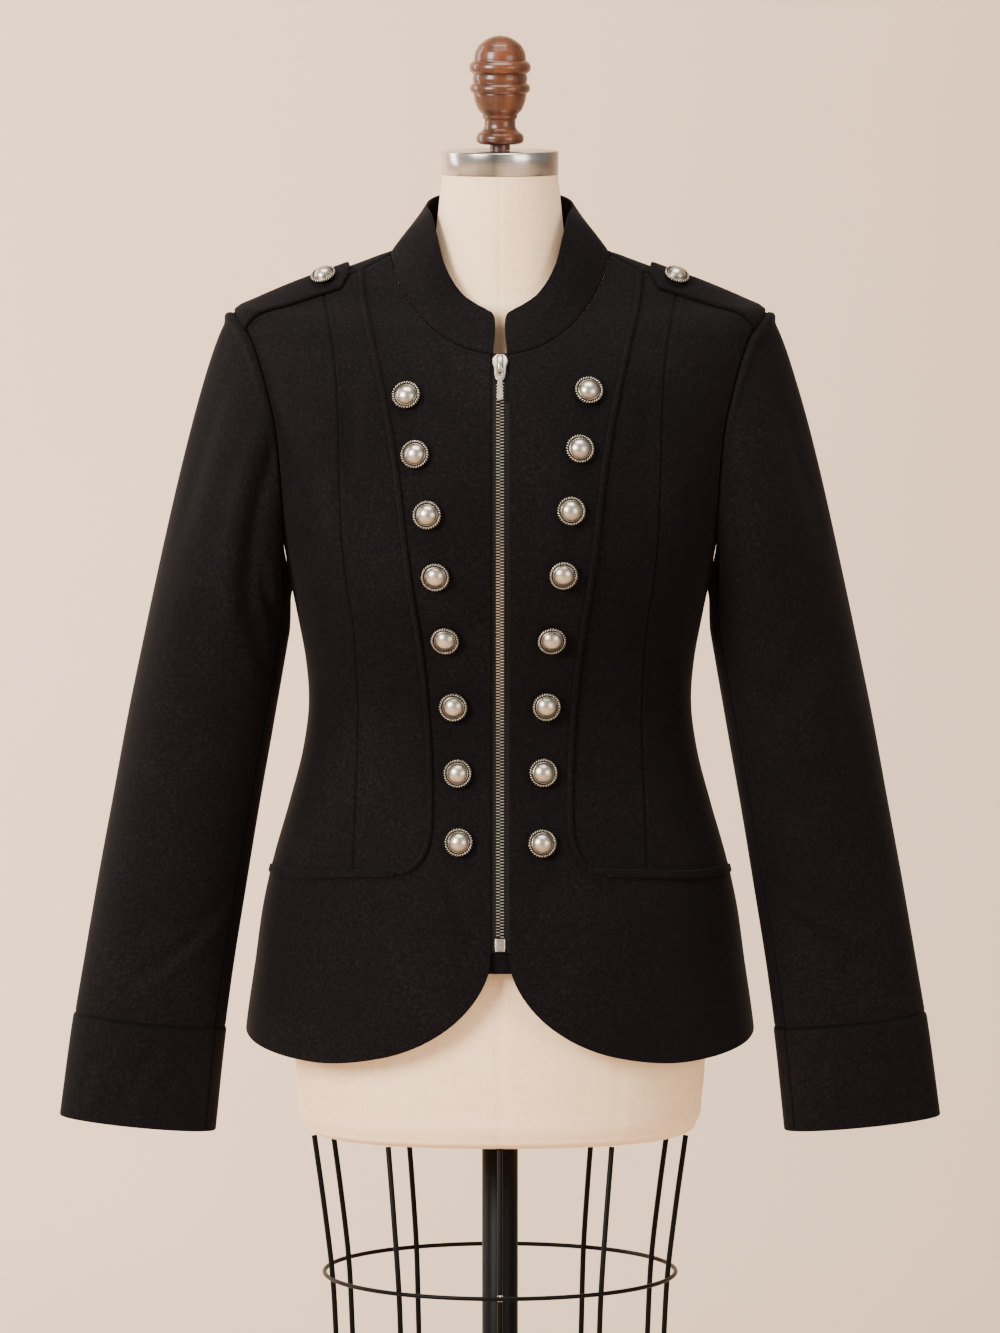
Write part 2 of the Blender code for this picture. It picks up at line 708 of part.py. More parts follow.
def collar(lines, cloth):
    """Stand collar on the neckline, leaning in, open at the centre front."""
    base = joined(along(lines["neckline"], NECK_STEPS), along(lines["back_neckline"], BACK_NECK_STEPS))
    place, normal = base, body_normal(base)
    run = np.concatenate([[0], np.cumsum(np.linalg.norm(np.diff(place, axis=0), axis=1))])
    share = run / run[-1]
    rim = np.stack(
        [
            smooth_through(
                column(COLLAR_TOP, COLLAR_COLUMNS, "share"),
                column(COLLAR_TOP, COLLAR_COLUMNS, name),
                share,
            )
            for name in ("across", "deep", "height")
        ],
        axis=-1,
    )
    rim[-1, 0] = 0.0
    place = np.concatenate([place, mirrored(place)[-2::-1]])
    normal = np.concatenate([normal, mirrored(normal)[-2::-1]])
    rim = np.concatenate([rim, mirrored(rim)[-2::-1]])
    tangent = unit(np.gradient(place, axis=0))
    into = unit(np.cross(tangent, normal))
    into *= np.sign((into * (rim - place)).sum(-1, keepdims=True))
    first_out, first_in = bent_edge(place, normal, into, rim, CLOTH)
    rows = 3
    level = np.linspace(0, 1, rows + 1)[:, None, None]
    outer = first_out * (1 - level) + rim * level
    facing = -grid_normals(outer, ring=False)
    facing *= np.sign((facing[1] * normal).sum(-1).mean())
    outer = outer + COLLAR_BELLY * np.sin(math.pi * level) * facing
    inner = outer - CLOTH * facing
    inner[0] = first_in
    add_wall("collar", outer, inner, cloth)


def sleeve_grid(lines):
    """Outer points of the left sleeve, its rings going down, and its first inner ring.

    Column 0 is the shoulder tip, 6 the front, 12 the armpit and 18 the back.
    """
    front = along(lines["front_hole"], LOOP_HALF)
    back = along(lines["back_hole"], LOOP_HALF)[::-1]
    loop = np.concatenate([front, back[1:-1]])
    place, normal = loop, body_normal(loop)
    tangent = unit(np.roll(place, -1, axis=0) - np.roll(place, 1, axis=0))
    into = unit(np.cross(normal, tangent))
    into *= np.sign((into * (place.mean(axis=0) - place)).sum(-1, keepdims=True))

    turn = np.radians(np.arange(len(place)) * 180.0 / LOOP_HALF)
    height = column(SLEEVE_SECTIONS, SLEEVE_COLUMNS, "height")
    stations = np.concatenate([np.linspace(height[0], 0.7145, ARM_ROWS)])
    rings = [sleeve_ring(z, turn) for z in stations]
    reach = np.linalg.norm(rings[0] - place, axis=-1)[:, None]
    top = ((1 + np.cos(turn)) / 2)[:, None]
    start = np.concatenate(
        [0.06 + 0.84 * top, -0.42 * np.sin(turn)[:, None], -(0.35 + 0.65 * (1 - top))], axis=1
    )
    start = unit(start) * reach * (0.25 + 0.60 * (1 - top))
    finish = unit(rings[1] - rings[0]) * reach * (0.30 * top + 0.70 * (1 - top))
    rows = []
    for t in np.linspace(0, 1, CAP_ROWS + 1) ** 1.15:
        rows.append(
            (2 * t**3 - 3 * t**2 + 1) * place
            + (t**3 - 2 * t**2 + t) * start
            + (3 * t**2 - 2 * t**3) * rings[0]
            + (t**3 - t**2) * finish
        )
    first_out, first_in = bent_edge(place, normal, into, rows[1], CLOTH)
    rows[0] = first_out
    return np.stack(rows + rings[1:]), first_in


def sleeve_ring(z, turn, proud=0.0):
    """Level of the sleeve: an ellipse tilted down towards the body."""
    height = column(SLEEVE_SECTIONS, SLEEVE_COLUMNS, "height")
    across, deep, width, depth = (
        smooth_through(height, column(SLEEVE_SECTIONS, SLEEVE_COLUMNS, name), z)
        for name in SLEEVE_COLUMNS[1:]
    )
    over = (width + proud) * np.cos(turn)
    front = (depth + proud) * np.sin(turn)
    return np.stack(
        [across + over * math.cos(SLEEVE_TILT), deep - front, z + over * math.sin(SLEEVE_TILT)],
        axis=-1,
    )


def sleeves(lines, cloth):
    """Two-piece sleeve and its cuff on each side."""
    outer, first_in = sleeve_grid(lines)
    normals = grid_normals(outer, ring=True)
    inner = outer - CLOTH * normals
    inner[0] = first_in
    count = outer.shape[1]
    under = np.arange(FRONT_SEAM_INDEX, BACK_SEAM_INDEX + 1)
    upper = np.arange(BACK_SEAM_INDEX, count + FRONT_SEAM_INDEX + 1) % count
    for name, columns in (("sleeve_under", under), ("sleeve_top", upper)):
        face, lining = outer[:, columns].copy(), inner[:, columns].copy()
        for edge, beside in ((0, 1), (-1, -2)):
            move = EDGE_PULL * unit(face[:, beside] - face[:, edge])
            face[:, edge] += move
            lining[:, edge] += move
        both_sides(name, face, lining, cloth)

    turn = np.radians(np.arange(count) * 180.0 / LOOP_HALF)
    height = column(SLEEVE_SECTIONS, SLEEVE_COLUMNS, "height")
    levels = np.linspace(0.7145 - 0.0005, height[-1], 3)
    cuff = np.stack([sleeve_ring(z, turn, CUFF_PROUD) for z in levels])
    both_sides("cuff", cuff, cuff - (CLOTH + CUFF_PROUD) * grid_normals(cuff, ring=True), cloth, ring=True)


def epaulettes(cloth):
    """Chamfered strap along each shoulder, of doubled cloth, lying on the shoulder."""
    across, front, back = (
        column(EPAULETTE_OUTLINE, EPAULETTE_COLUMNS, name)[:, None] for name in EPAULETTE_COLUMNS
    )
    share = np.linspace(0, 1, 9)[None, :]
    deep = front * (1 - share) + back * share
    # Its outer end follows the armhole seam, which curves back towards the neck
    near_tip = np.clip(1 - (across[0] - across) / 0.030, 0, 1)
    across = across - EPAULETTE_CUT_BACK * (deep / front[0]) ** 2 * near_tip
    cloth_face = np.stack([across, deep, top_height(across, deep)], axis=-1)
    normal = body_normal(cloth_face)
    under = cloth_face + EPAULETTE_GAP * normal
    both_sides("epaulette", under + DOUBLED_CLOTH * normal, under, cloth)


def strip(name, place, width, height, finish, trim=(0.0, 0.0)):
    """Raised strip that follows a seam, its foot a seam gap over the cloth."""
    normal = body_normal(place)
    place[0] += trim[0] * unit(place[1] - place[0])
    place[-1] += trim[1] * unit(place[-2] - place[-1])
    tangent = unit(np.gradient(place, axis=0))
    aside = unit(np.cross(normal, tangent))
    outline = ((-0.5, 0.0), (0.5, 0.0), (0.46, 0.6), (0.26, 1.0), (-0.26, 1.0), (-0.46, 0.6))
    rings = np.stack(
        [
            place + aside * width * over + normal * (SEAM_GAP + 0.0001 + height * up)
            for over, up in outline
        ],
        axis=1,
    )
    for side, points in (("left", rings), ("right", mirrored(rings))):
        rows, columns = points.shape[:2]
        index = np.arange(rows * columns).reshape(rows, columns)
        round_it = np.concatenate([index, index[:, :1]], axis=1)
        quads = np.stack(
            [round_it[:-1, :-1], round_it[1:, :-1], round_it[1:, 1:], round_it[:-1, 1:]], axis=-1
        )
        faces = quads.reshape(-1, 4).tolist() + [index[0].tolist(), index[-1][::-1].tolist()]
        add_mesh(f"{name}_{side}", points.reshape(-1, 3), faces, finish)


def raised_strips(lines, cloth):
    """Piping down the long front seam, and the welt over the peplum seam."""
    strip("piping", along(lines["piping"], 0, PIPING_SHARES), PIPING_WIDTH, PIPING_HEIGHT, cloth, (0.001, 0.0045))
    welt = joined(along(lines["welt_inner"], WELT_INNER_STEPS), along(lines["welt_outer"], WELT_OUTER_STEPS))
    strip("welt", welt, WELT_WIDTH, WELT_HEIGHT, cloth, (0.0, 0.0015))


def centre_front(lines, heights):
    """Points and normals of the jacket's outer face down the centre front.

    They lie on the straight runs between the samples of the front edges.
    """
    edge = along(lines["front_edge"], EDGE_STEPS)
    heights = np.asarray(heights, float)
    deep = np.interp(-heights, -edge[:, 2], edge[:, 1])
    place = np.stack([0 * deep, deep, heights], axis=-1)
    chord = unit(np.diff(edge[:, 1:], axis=0))
    run = np.clip(np.searchsorted(-edge[:, 2], -heights, side="right") - 1, 0, len(chord) - 1)
    normal = np.stack([0 * deep, chord[run, 1], -chord[run, 0]], axis=-1)
    return place, normal


def edge_heights(lines, top, foot):
    """Heights of a strip's rows: those of the front edge between its ends."""
    edge = along(lines["front_edge"], EDGE_STEPS)[:, 2]
    return np.concatenate([[top], edge[(edge < top - 0.004) & (edge > foot + 0.004)], [foot]])


def band_down(name, lines, heights, halves, depth, thick, finish, columns=3):
    """Flat strip down the centre front, its outer face at a depth under the cloth's."""
    place, _ = centre_front(lines, heights)
    normal = body_normal(place)
    normal[:, 0] = 0.0
    normal = unit(normal)
    share = np.linspace(-1, 1, columns)[None, :, None]
    over = np.asarray(halves, float)[:, None, None] * share * np.array([1.0, 0.0, 0.0])
    outer = place[:, None] - depth * normal[:, None] + over
    return add_wall(name, outer, outer - thick * normal[:, None], finish)


def tape_depth():
    return CLOTH + SEAM_GAP + 0.0003


def zip_strips(lines, tape, metal, cloth):
    """Tape behind the front edges, chain with its end box, and the guard behind both."""
    heights = edge_heights(lines, ZIP_TOP - 0.0006, ZIP_FOOT)
    band_down("zip_tape", lines, heights, np.full(len(heights), TAPE_HALF), tape_depth(), TAPE_THICK, tape)
    chain_depth = tape_depth() - SEAM_GAP - CHAIN_THICK
    chain_top = ZIP_TOP - SLIDER_LENGTH * 0.90 - 0.0020
    box_top = ZIP_FOOT + BOX_LENGTH
    heights = edge_heights(lines, chain_top, box_top + 0.0006)
    heights = np.concatenate([heights, [box_top, ZIP_FOOT + 0.0008]])
    halves = np.full(len(heights), CHAIN_HALF)
    halves[-2:] = BOX_HALF
    band_down("zip_chain", lines, heights, halves, chain_depth, CHAIN_THICK, metal, columns=2)
    guard_depth = tape_depth() + TAPE_THICK + SEAM_GAP
    heights = edge_heights(lines, ZIP_TOP - 0.004, GUARD_FOOT)
    band_down("zip_guard", lines, heights, np.full(len(heights), GUARD_HALF), guard_depth, GUARD_THICK, cloth)


def slider_frame(lines):
    """Place and axes of the slider: X across, Y out of the cloth, Z up along the zip."""
    middle = ZIP_TOP - 0.0008 - 0.45 * SLIDER_LENGTH
    place, normal = centre_front(lines, [middle])
    out = Vector(normal[0])
    across = Vector((-1.0, 0.0, 0.0))
    upward = across.cross(out)
    seat = Vector(place[0]) - out * (tape_depth() - SEAM_GAP)
    turn = Matrix((across, out, upward)).transposed().to_4x4()
    return Matrix.Translation(seat) @ turn


def placed(thing, frame):
    """Applies a place and turn to a piece's own points."""
    thing.data.transform(frame)
    thing.data.update()
    return thing


def zip_slider(lines, metal):
    """Wedge-shaped slider with a bridge that the pull's pin runs under."""
    half = SLIDER_LENGTH / 2
    outline = (
        (-SLIDER_FOOT_HALF, -half),
        (SLIDER_FOOT_HALF, -half),
        (SLIDER_FOOT_HALF, -0.15 * half),
        (SLIDER_TOP_HALF, 0.45 * half),
        (SLIDER_TOP_HALF, half),
        (0.0, 0.86 * half),
        (-SLIDER_TOP_HALF, half),
        (-SLIDER_TOP_HALF, 0.45 * half),
        (-SLIDER_FOOT_HALF, -0.15 * half),
    )
    shape = bmesh.new()
    floor = [shape.verts.new((x, 0.0, z)) for x, z in outline]
    lid = [shape.verts.new((x * 0.94, SLIDER_THICK, z * 0.96)) for x, z in outline]
    shape.faces.new(floor)
    shape.faces.new(lid)
    for i in range(len(outline)):
        j = (i + 1) % len(outline)
        shape.faces.new((floor[i], floor[j], lid[j], lid[i]))
    bmesh.ops.recalc_face_normals(shape, faces=shape.faces)
    slider = mesh_object("zip_slider", shape, metal)

    # The bridge is an arch along the zip, its feet sunk a little into the lid
    rise = ((-0.0062, -0.0006), (-0.0056, 0.0021), (-0.0036, BRIDGE_RISE),
            (0.0022, BRIDGE_RISE), (0.0042, 0.0021), (0.0048, -0.0006))
    hollow = ((-0.0050, -0.0006), (-0.0046, 0.0016), (-0.0032, BRIDGE_RISE - BRIDGE_WALL),
              (0.0018, BRIDGE_RISE - BRIDGE_WALL), (0.0032, 0.0016), (0.0036, -0.0006))
    shape = bmesh.new()
    sides = []
    for x in (-BRIDGE_HALF, BRIDGE_HALF):
        over = [shape.verts.new((x, SLIDER_THICK + y, z)) for z, y in rise]
        under = [shape.verts.new((x, SLIDER_THICK + y, z)) for z, y in hollow]
        sides.append((over, under))
        for i in range(len(rise) - 1):
            shape.faces.new((over[i], over[i + 1], under[i + 1], under[i]))
    (over_a, under_a), (over_b, under_b) = sides
    for near, far in ((over_a, over_b), (under_a, under_b)):
        for i in range(len(rise) - 1):
            shape.faces.new((near[i], near[i + 1], far[i + 1], far[i]))
    for i in (0, -1):
        shape.faces.new((over_a[i], over_b[i], under_b[i], under_a[i]))
    bmesh.ops.recalc_face_normals(shape, faces=shape.faces)
    bridge = mesh_object("zip_bridge_form", shape, metal)
    bridge.hide_render = True
    bridge.display_type = "WIRE"
    joint = slider.modifiers.new("bridge", "BOOLEAN")
    joint.operation = "UNION"
    joint.object = bridge
    frame = slider_frame(lines)
    placed(bridge, frame)
    placed(slider, frame)


def mesh_object(name, shape, finish):
    """Named object from a bmesh, which it frees."""
    mesh = bpy.data.meshes.new(name)
    shape.to_mesh(mesh)
    shape.free()
    mesh.materials.append(finish)
    thing = bpy.data.objects.new(name, mesh)
    bpy.context.scene.collection.objects.link(thing)
    return thing


def pull_pivot():
    """Hinge point of the pull, in the slider's own axes."""
    return Vector((0.0, SLIDER_THICK + 0.0012, -0.0026))


def zip_pull(lines, metal):
    """Pull tab hanging from the bridge: a pin, two arms and a long tab, one piece."""
    top, arm = PIN_RADIUS, PULL_ARM
    eye, wide = PULL_EYE_HALF, PULL_EYE_HALF + PULL_ARM
    eye_foot = -0.0060
    foot = -PULL_LENGTH
    outer = (
        (-wide, top),
        (wide, top),
        (wide, eye_foot - 0.0010),
        (0.0017, -0.0090),
        (0.0023, foot + 0.0020),
        (0.0014, foot),
        (-0.0014, foot),
        (-0.0023, foot + 0.0020),
        (-0.0017, -0.0090),
        (-wide, eye_foot - 0.0010),
    )
    inner = ((-eye, -PIN_RADIUS), (eye, -PIN_RADIUS), (eye, eye_foot), (-eye, eye_foot))
    links = (
        (0, 1, "b", "a"),
        (1, 2, "c", "b"),
        (9, 0, "a", "d"),
    )
    shape = bmesh.new()
    layers = []
    for y in (-PIN_RADIUS, PIN_RADIUS):
        ring = [shape.verts.new((x, y, z)) for x, z in outer]
        hole = dict(zip("abcd", [shape.verts.new((x, y, z)) for x, z in inner]))
        layers.append((ring, hole))
        for i, j, first, second in links:
            shape.faces.new((ring[i], ring[j], hole[first], hole[second]))
        shape.faces.new((hole["d"], hole["c"], *ring[2:10]))
    (ring_a, hole_a), (ring_b, hole_b) = layers
    for i in range(len(outer)):
        j = (i + 1) % len(outer)
        shape.faces.new((ring_a[i], ring_a[j], ring_b[j], ring_b[i]))
    for first, second in ("ab", "bc", "cd", "da"):
        shape.faces.new((hole_a[first], hole_a[second], hole_b[second], hole_b[first]))
    bmesh.ops.recalc_face_normals(shape, faces=shape.faces)
    pull = mesh_object("zip_pull", shape, metal)
    # The tab leans in until it lies over the chain
    lean = Matrix.Rotation(-PULL_LEAN, 4, "X")
    placed(pull, slider_frame(lines) @ Matrix.Translation(pull_pivot()) @ lean)


def turned(name, profile, sides, finish, place=(0.0, 0.0, 0.0)):
    """Solid turned from rows of height and radius, ends closed on the axis, low to high."""
    shape = bmesh.new()
    rings = []
    for height, radius in profile:
        if radius == 0.0:
            rings.append([shape.verts.new((0.0, 0.0, height))])
            continue
        steps = [2 * math.pi * i / sides for i in range(sides)]
        rings.append([shape.verts.new((radius * math.cos(a), radius * math.sin(a), height)) for a in steps])
    for low, high in zip(rings, rings[1:]):
        for i in range(sides):
            j = (i + 1) % sides
            if len(high) == 1:
                shape.faces.new((low[i], low[j], high[0]))
            else:
                shape.faces.new((low[i], low[j], high[j], high[i]))
    shape.faces.new(rings[0])
    if len(rings[-1]) > 1:
        shape.faces.new(rings[-1])
    bmesh.ops.recalc_face_normals(shape, faces=shape.faces)
    thing = mesh_object(name, shape, finish)
    thing.data.shade_smooth()
    thing.data.set_sharp_from_angle(angle=math.radians(40))
    thing.location = place
    return thing


def button_profile(radius):
    """Shank, scalloped rim's outline and dome, as heights and radii."""
    return (
        (0.0000, 0.34 * radius),
        (0.0016, 0.34 * radius),
        (0.0022, 0.98 * radius),
        (0.0042, 0.95 * radius),
        (0.0046, 0.62 * radius),
        (0.0072, 0.38 * radius),
        (0.0080, 0.0),
    )


def button(name, place, normal, radius, metal):
    """Domed button standing on its shank, square to the cloth."""
    thing = turned(name, button_profile(radius), BUTTON_SIDES, metal)
    turn = Vector(normal).to_track_quat("Z", "Y").to_matrix().to_4x4()
    thing.matrix_world = Matrix.Translation(Vector(place)) @ turn


def seated(name, place, normal, radius):
    """Place over a piece where a button of this radius stands a small gap clear of it."""
    mesh = bpy.data.objects[name].data
    mesh.calc_loop_triangles()
    points = [vertex.co[:] for vertex in mesh.vertices]
    tree = BVHTree.FromPolygons(points, [face.vertices[:] for face in mesh.loop_triangles])
    normal = Vector(normal)
    aside = normal.orthogonal().normalized()
    ahead = normal.cross(aside)
    drop = 0.02
    room = []
    for reach, allowance in ((0.0, 0.0), (0.34 * radius, 0.0), (radius, 0.0018)):
        for turn in range(16):
            a = 2 * math.pi * turn / 16
            start = Vector(place) + drop * normal + reach * (math.cos(a) * aside + math.sin(a) * ahead)
            hit = tree.ray_cast(start, -normal)
            if hit[0]:
                room.append(hit[3] + allowance)
    return Vector(place) + (drop - min(room) + BUTTON_GAP) * normal


def buttons(metal):
    """Two rows on the fronts and one on each epaulette."""
    table = {name: column(BUTTON_ROWS, BUTTON_COLUMNS, name) for name in BUTTON_COLUMNS}
    for side, sign in (("right", -1.0), ("left", 1.0)):
        flip = np.array([sign, 1.0, 1.0])
        places = face_point(table[f"{side}_across"], table[f"{side}_height"])
        normals = body_normal(places)
        for i, (place, normal) in enumerate(zip(places * flip, normals * flip)):
            seat = seated(f"front_centre_{side}", place, normal, BUTTON_RADIUS)
            button(f"button_{side}_{i + 1}", seat, normal, BUTTON_RADIUS, metal)
        across, deep = EPAULETTE_BUTTON_ACROSS, EPAULETTE_BUTTON_DEEP
        place = np.array([across, deep, float(top_height(across, deep))])
        normal = body_normal(place) * flip
        radius = EPAULETTE_BUTTON_SCALE * BUTTON_RADIUS
        button(f"button_epaulette_{side}", seated(f"epaulette_{side}", place * flip, normal, radius), normal, radius, metal)


def reach_at(angle, width, front, back, square):
    """Distance from the axis to a level section at an angle from the front."""
    sine, cosine = np.sin(angle), np.cos(angle)
    depth = np.where(cosine > 0, front, back)
    return ((np.abs(sine) / width) ** square + (np.abs(cosine) / depth) ** square) ** (-1 / square)


def form_torso(linen):
    """Solid limbless torso, its shoulders and its neck blended, rounded in at its flat bottom."""
    heights = np.concatenate([column(FORM_SECTIONS, BODY_COLUMNS, "height"), NECK_RINGS])[:, None]
    angle = 2 * math.pi * np.arange(FORM_SIDES)[None, :] / FORM_SIDES
    last = FORM_SECTIONS[-1][0]
    trunk = reach_at(angle, *section_at(FORM_SECTIONS, np.minimum(heights, last)))
    trunk = np.where(heights > last, 0.0, trunk)
    neck_heights = column(NECK_SECTIONS, NECK_COLUMNS, "height")
    neck_sizes = [
        smooth_through(neck_heights, column(NECK_SECTIONS, NECK_COLUMNS, name), heights)
        for name in NECK_COLUMNS[1:]
    ]
    neck = reach_at(angle, *neck_sizes, 2.0)
    neck = np.where(heights < NECK_SECTIONS[0][0], 0.0, neck)
    reach = (trunk**NECK_BLEND + neck**NECK_BLEND) ** (1 / NECK_BLEND)
    rings = np.stack([reach * np.sin(angle), -reach * np.cos(angle), heights + 0 * angle], axis=-1)
    rows, columns = rings.shape[:2]
    index = np.arange(rows * columns).reshape(rows, columns)
    round_it = np.concatenate([index, index[:, :1]], axis=1)
    quads = np.stack([round_it[:-1, :-1], round_it[:-1, 1:], round_it[1:, 1:], round_it[1:, :-1]], axis=-1)
    faces = quads.reshape(-1, 4).tolist() + [index[0][::-1].tolist(), index[-1].tolist()]
    add_mesh("form_torso", rings.reshape(-1, 3), faces, linen)


def neck_cap(steel):
    """Flat oval cap with a softened rim on the form's neck."""
    last = NECK_SECTIONS[-1]
    low = last[0] + SEAM_GAP
    levels = ((low, 0.0), (NECK_CAP_TOP - 0.0012, 0.0), (NECK_CAP_TOP, -0.0014))
    sides = 24
    points = []
    for height, shrink in levels:
        for i in range(sides):
            a = 2 * math.pi * i / sides
            deep = last[2] if math.cos(a) > 0 else last[3]
            points.append(((last[1] + shrink) * math.sin(a), -(deep + shrink) * math.cos(a), height))
    index = np.arange(len(points)).reshape(len(levels), sides)
    faces = [index[0].tolist(), index[-1][::-1].tolist()]
    for low_ring, high_ring in zip(index, index[1:]):
        for i in range(sides):
            j = (i + 1) % sides
            faces.append((int(low_ring[i]), int(low_ring[j]), int(high_ring[j]), int(high_ring[i])))
    add_mesh("neck_cap", points, faces, steel)


def wire(name, points, radius, finish, closed=False, sides=2):
    """Round wire through points."""
    curve = bpy.data.curves.new(name, "CURVE")
    curve.dimensions = "3D"
    curve.bevel_depth = radius
    curve.bevel_resolution = sides
    curve.use_fill_caps = not closed
    spline = curve.splines.new("POLY")
    spline.points.add(len(points) - 1)
    for target, point in zip(spline.points, points):
        target.co = (*point, 1.0)
    spline.use_cyclic_u = closed
    curve.materials.append(finish)
    thing = bpy.data.objects.new(name, curve)
    bpy.context.scene.collection.objects.link(thing)
    return thing


def solid_copy(thing):
    """Mesh object in place of a curve object, under the same name."""
    graph = bpy.context.evaluated_depsgraph_get()
    mesh = bpy.data.meshes.new_from_object(thing.evaluated_get(graph))
    name = thing.name
    bpy.data.objects.remove(thing)
    made = bpy.data.objects.new(name, mesh)
    bpy.context.scene.collection.objects.link(made)
    return made


def weld_rods(ring, table, reach, black):
    """Front and back rods in one piece with a ring, each by a bead of weld where it crosses."""
    ring = solid_copy(ring)
    tools = []
    for end, sign in (("front", -1.0), ("back", 1.0)):
        path = np.stack([0 * table["deep"], sign * table["deep"], table["height"]], axis=-1)
        tools.append(solid_copy(wire(f"{end}_rod_form", path, ROD_RADIUS, black, sides=1)))
        bead = ((-0.9 * WELD_RADIUS, 0.4 * WELD_RADIUS), (0.0, WELD_RADIUS), (0.9 * WELD_RADIUS, 0.4 * WELD_RADIUS))
        middle = (0.0, sign * (reach - RING_RADIUS - 0.0004), CAGE_RING)
        tools.append(turned(f"{end}_weld_form", bead, 10, black, middle))
    for tool in tools:
        tool.hide_render = True
        tool.display_type = "WIRE"
        union = ring.modifiers.new(tool.name, "BOOLEAN")
        union.operation = "UNION"
        union.object = tool


def cage(black):
    """Ten rods that draw in from the form's bottom, and two rings round them."""
    table = {name: column(ROD_PATH, ROD_COLUMNS, name) for name in ROD_COLUMNS}
    for i, angle in enumerate(ROD_ANGLES):
        for side, sign in (("left", 1.0), ("right", -1.0)):
            across = sign * table["sideways"] * math.sin(math.radians(angle))
            deep = -table["deep"] * math.cos(math.radians(angle))
            wire(f"cage_rod_{side}_{i + 1}", np.stack([across, deep, table["height"]], axis=-1), ROD_RADIUS, black, sides=1)
    for name, height in (("cage_ring_upper", CAGE_RING), ("cage_ring_lower", CAGE_FOOT)):
        inside = float(smooth_through(table["height"], table["sideways"], height))
        radius = inside + ROD_RADIUS + RING_RADIUS + 0.0008
        turns = [2 * math.pi * i / 32 for i in range(32)]
        ring = wire(name, [(radius * math.cos(a), radius * math.sin(a), height) for a in turns], RING_RADIUS, black, closed=True, sides=1)
        if height == CAGE_RING:
            weld_rods(ring, table, radius, black)


def stand(black, wood):
    """Finial, pole and weighted round base."""
    turned("finial", FINIAL_PROFILE, 16, wood)
    base_top = BASE_PROFILE[-1][0]
    turned("stand_pole", ((base_top + SEAM_GAP, POLE_RADIUS), (FORM_BOTTOM - SEAM_GAP, POLE_RADIUS)), 20, black)
    turned("stand_base", BASE_PROFILE, 36, black)


def main():
    clear_scene()
    cloth = finish_of("black_suiting", (0.012, 0.011, 0.012), 0.75)
    tape = finish_of("zip_tape", (0.02, 0.018, 0.019), 0.8)
    silver = finish_of("aged_silver", (0.62, 0.57, 0.52), 0.35, 1.0)
    nickel = finish_of("zip_nickel", (0.66, 0.62, 0.57), 0.3, 1.0)
    linen = finish_of("form_linen", (0.78, 0.66, 0.56), 0.85)
    steel = finish_of("brushed_steel", (0.62, 0.61, 0.6), 0.35, 1.0)
    wood = finish_of("turned_wood", (0.23, 0.07, 0.035), 0.35)
    black = finish_of("black_metal", (0.015, 0.015, 0.016), 0.4)
    lines = seams()
    front_panels(lines, cloth)
    back_panels(lines, cloth)
    collar(lines, cloth)
    sleeves(lines, cloth)
    epaulettes(cloth)
    raised_strips(lines, cloth)
    zip_strips(lines, tape, nickel, cloth)
    zip_slider(lines, nickel)
    zip_pull(lines, nickel)
    buttons(silver)
    form_torso(linen)
    neck_cap(steel)
    cage(black)
    stand(black, wood)


main()
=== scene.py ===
import math

import bmesh
import bpy
import numpy as np
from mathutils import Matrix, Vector


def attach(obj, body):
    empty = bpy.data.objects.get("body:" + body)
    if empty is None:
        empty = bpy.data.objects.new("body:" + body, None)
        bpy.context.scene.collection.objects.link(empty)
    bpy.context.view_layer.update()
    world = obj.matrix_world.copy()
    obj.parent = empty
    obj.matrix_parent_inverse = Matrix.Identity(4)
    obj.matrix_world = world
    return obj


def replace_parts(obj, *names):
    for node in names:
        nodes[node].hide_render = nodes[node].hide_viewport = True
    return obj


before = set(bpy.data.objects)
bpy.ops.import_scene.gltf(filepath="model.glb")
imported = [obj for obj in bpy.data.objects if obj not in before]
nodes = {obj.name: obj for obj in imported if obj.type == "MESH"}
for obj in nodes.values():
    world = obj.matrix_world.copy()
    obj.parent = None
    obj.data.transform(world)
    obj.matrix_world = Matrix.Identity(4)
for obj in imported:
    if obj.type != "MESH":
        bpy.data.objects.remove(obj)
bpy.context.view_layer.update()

# Looks of a black band jacket on a dress form. Metres, +Z up, the front faces -Y.
# Left and right are the wearer's, and the wearer's left lies towards +X.

mirror = np.array([-1.0, 1.0, 1.0])


# ---- camera, room and light ----

view = {
    "distance": 7.0,
    "elevation": 5.5,       # degrees
    "target": (0.0, 0.0, 0.971),
    "lens": 258.9,
    "sensor": 36.0,
}


def addCamera():
    data = bpy.data.cameras.new("photoCamera")
    data.lens = view["lens"]
    data.sensor_width = view["sensor"]
    data.sensor_fit = "AUTO"
    data.clip_end = 40.0
    camera = bpy.data.objects.new("photoCamera", data)
    bpy.context.scene.collection.objects.link(camera)
    tilt = math.radians(view["elevation"])
    back = Vector((0.0, -math.cos(tilt), math.sin(tilt)))
    camera.location = Vector(view["target"]) + view["distance"] * back
    camera.rotation_mode = "QUATERNION"
    camera.rotation_quaternion = (-back).to_track_quat("-Z", "Y")
    bpy.context.scene.camera = camera


lamps = {
    # place, point it looks at, width, height, watts, colour
    "key": ((-3.4, -3.6, 3.0), (0.0, 0.0, 1.00), 2.2, 2.2, 540.0, (1.0, 0.955, 0.90)),
    "fill": ((3.6, -3.8, 1.9), (0.0, 0.0, 0.95), 2.6, 2.6, 118.0, (1.0, 0.93, 0.86)),
    "above": ((0.0, -0.6, 4.2), (0.0, 0.0, 1.00), 2.4, 1.6, 135.0, (1.0, 0.96, 0.92)),
    "wallWash": ((-2.4, 1.0, 1.9), (-0.6, 3.4, 1.0), 1.6, 2.2, 150.0, (1.0, 0.95, 0.88)),
}


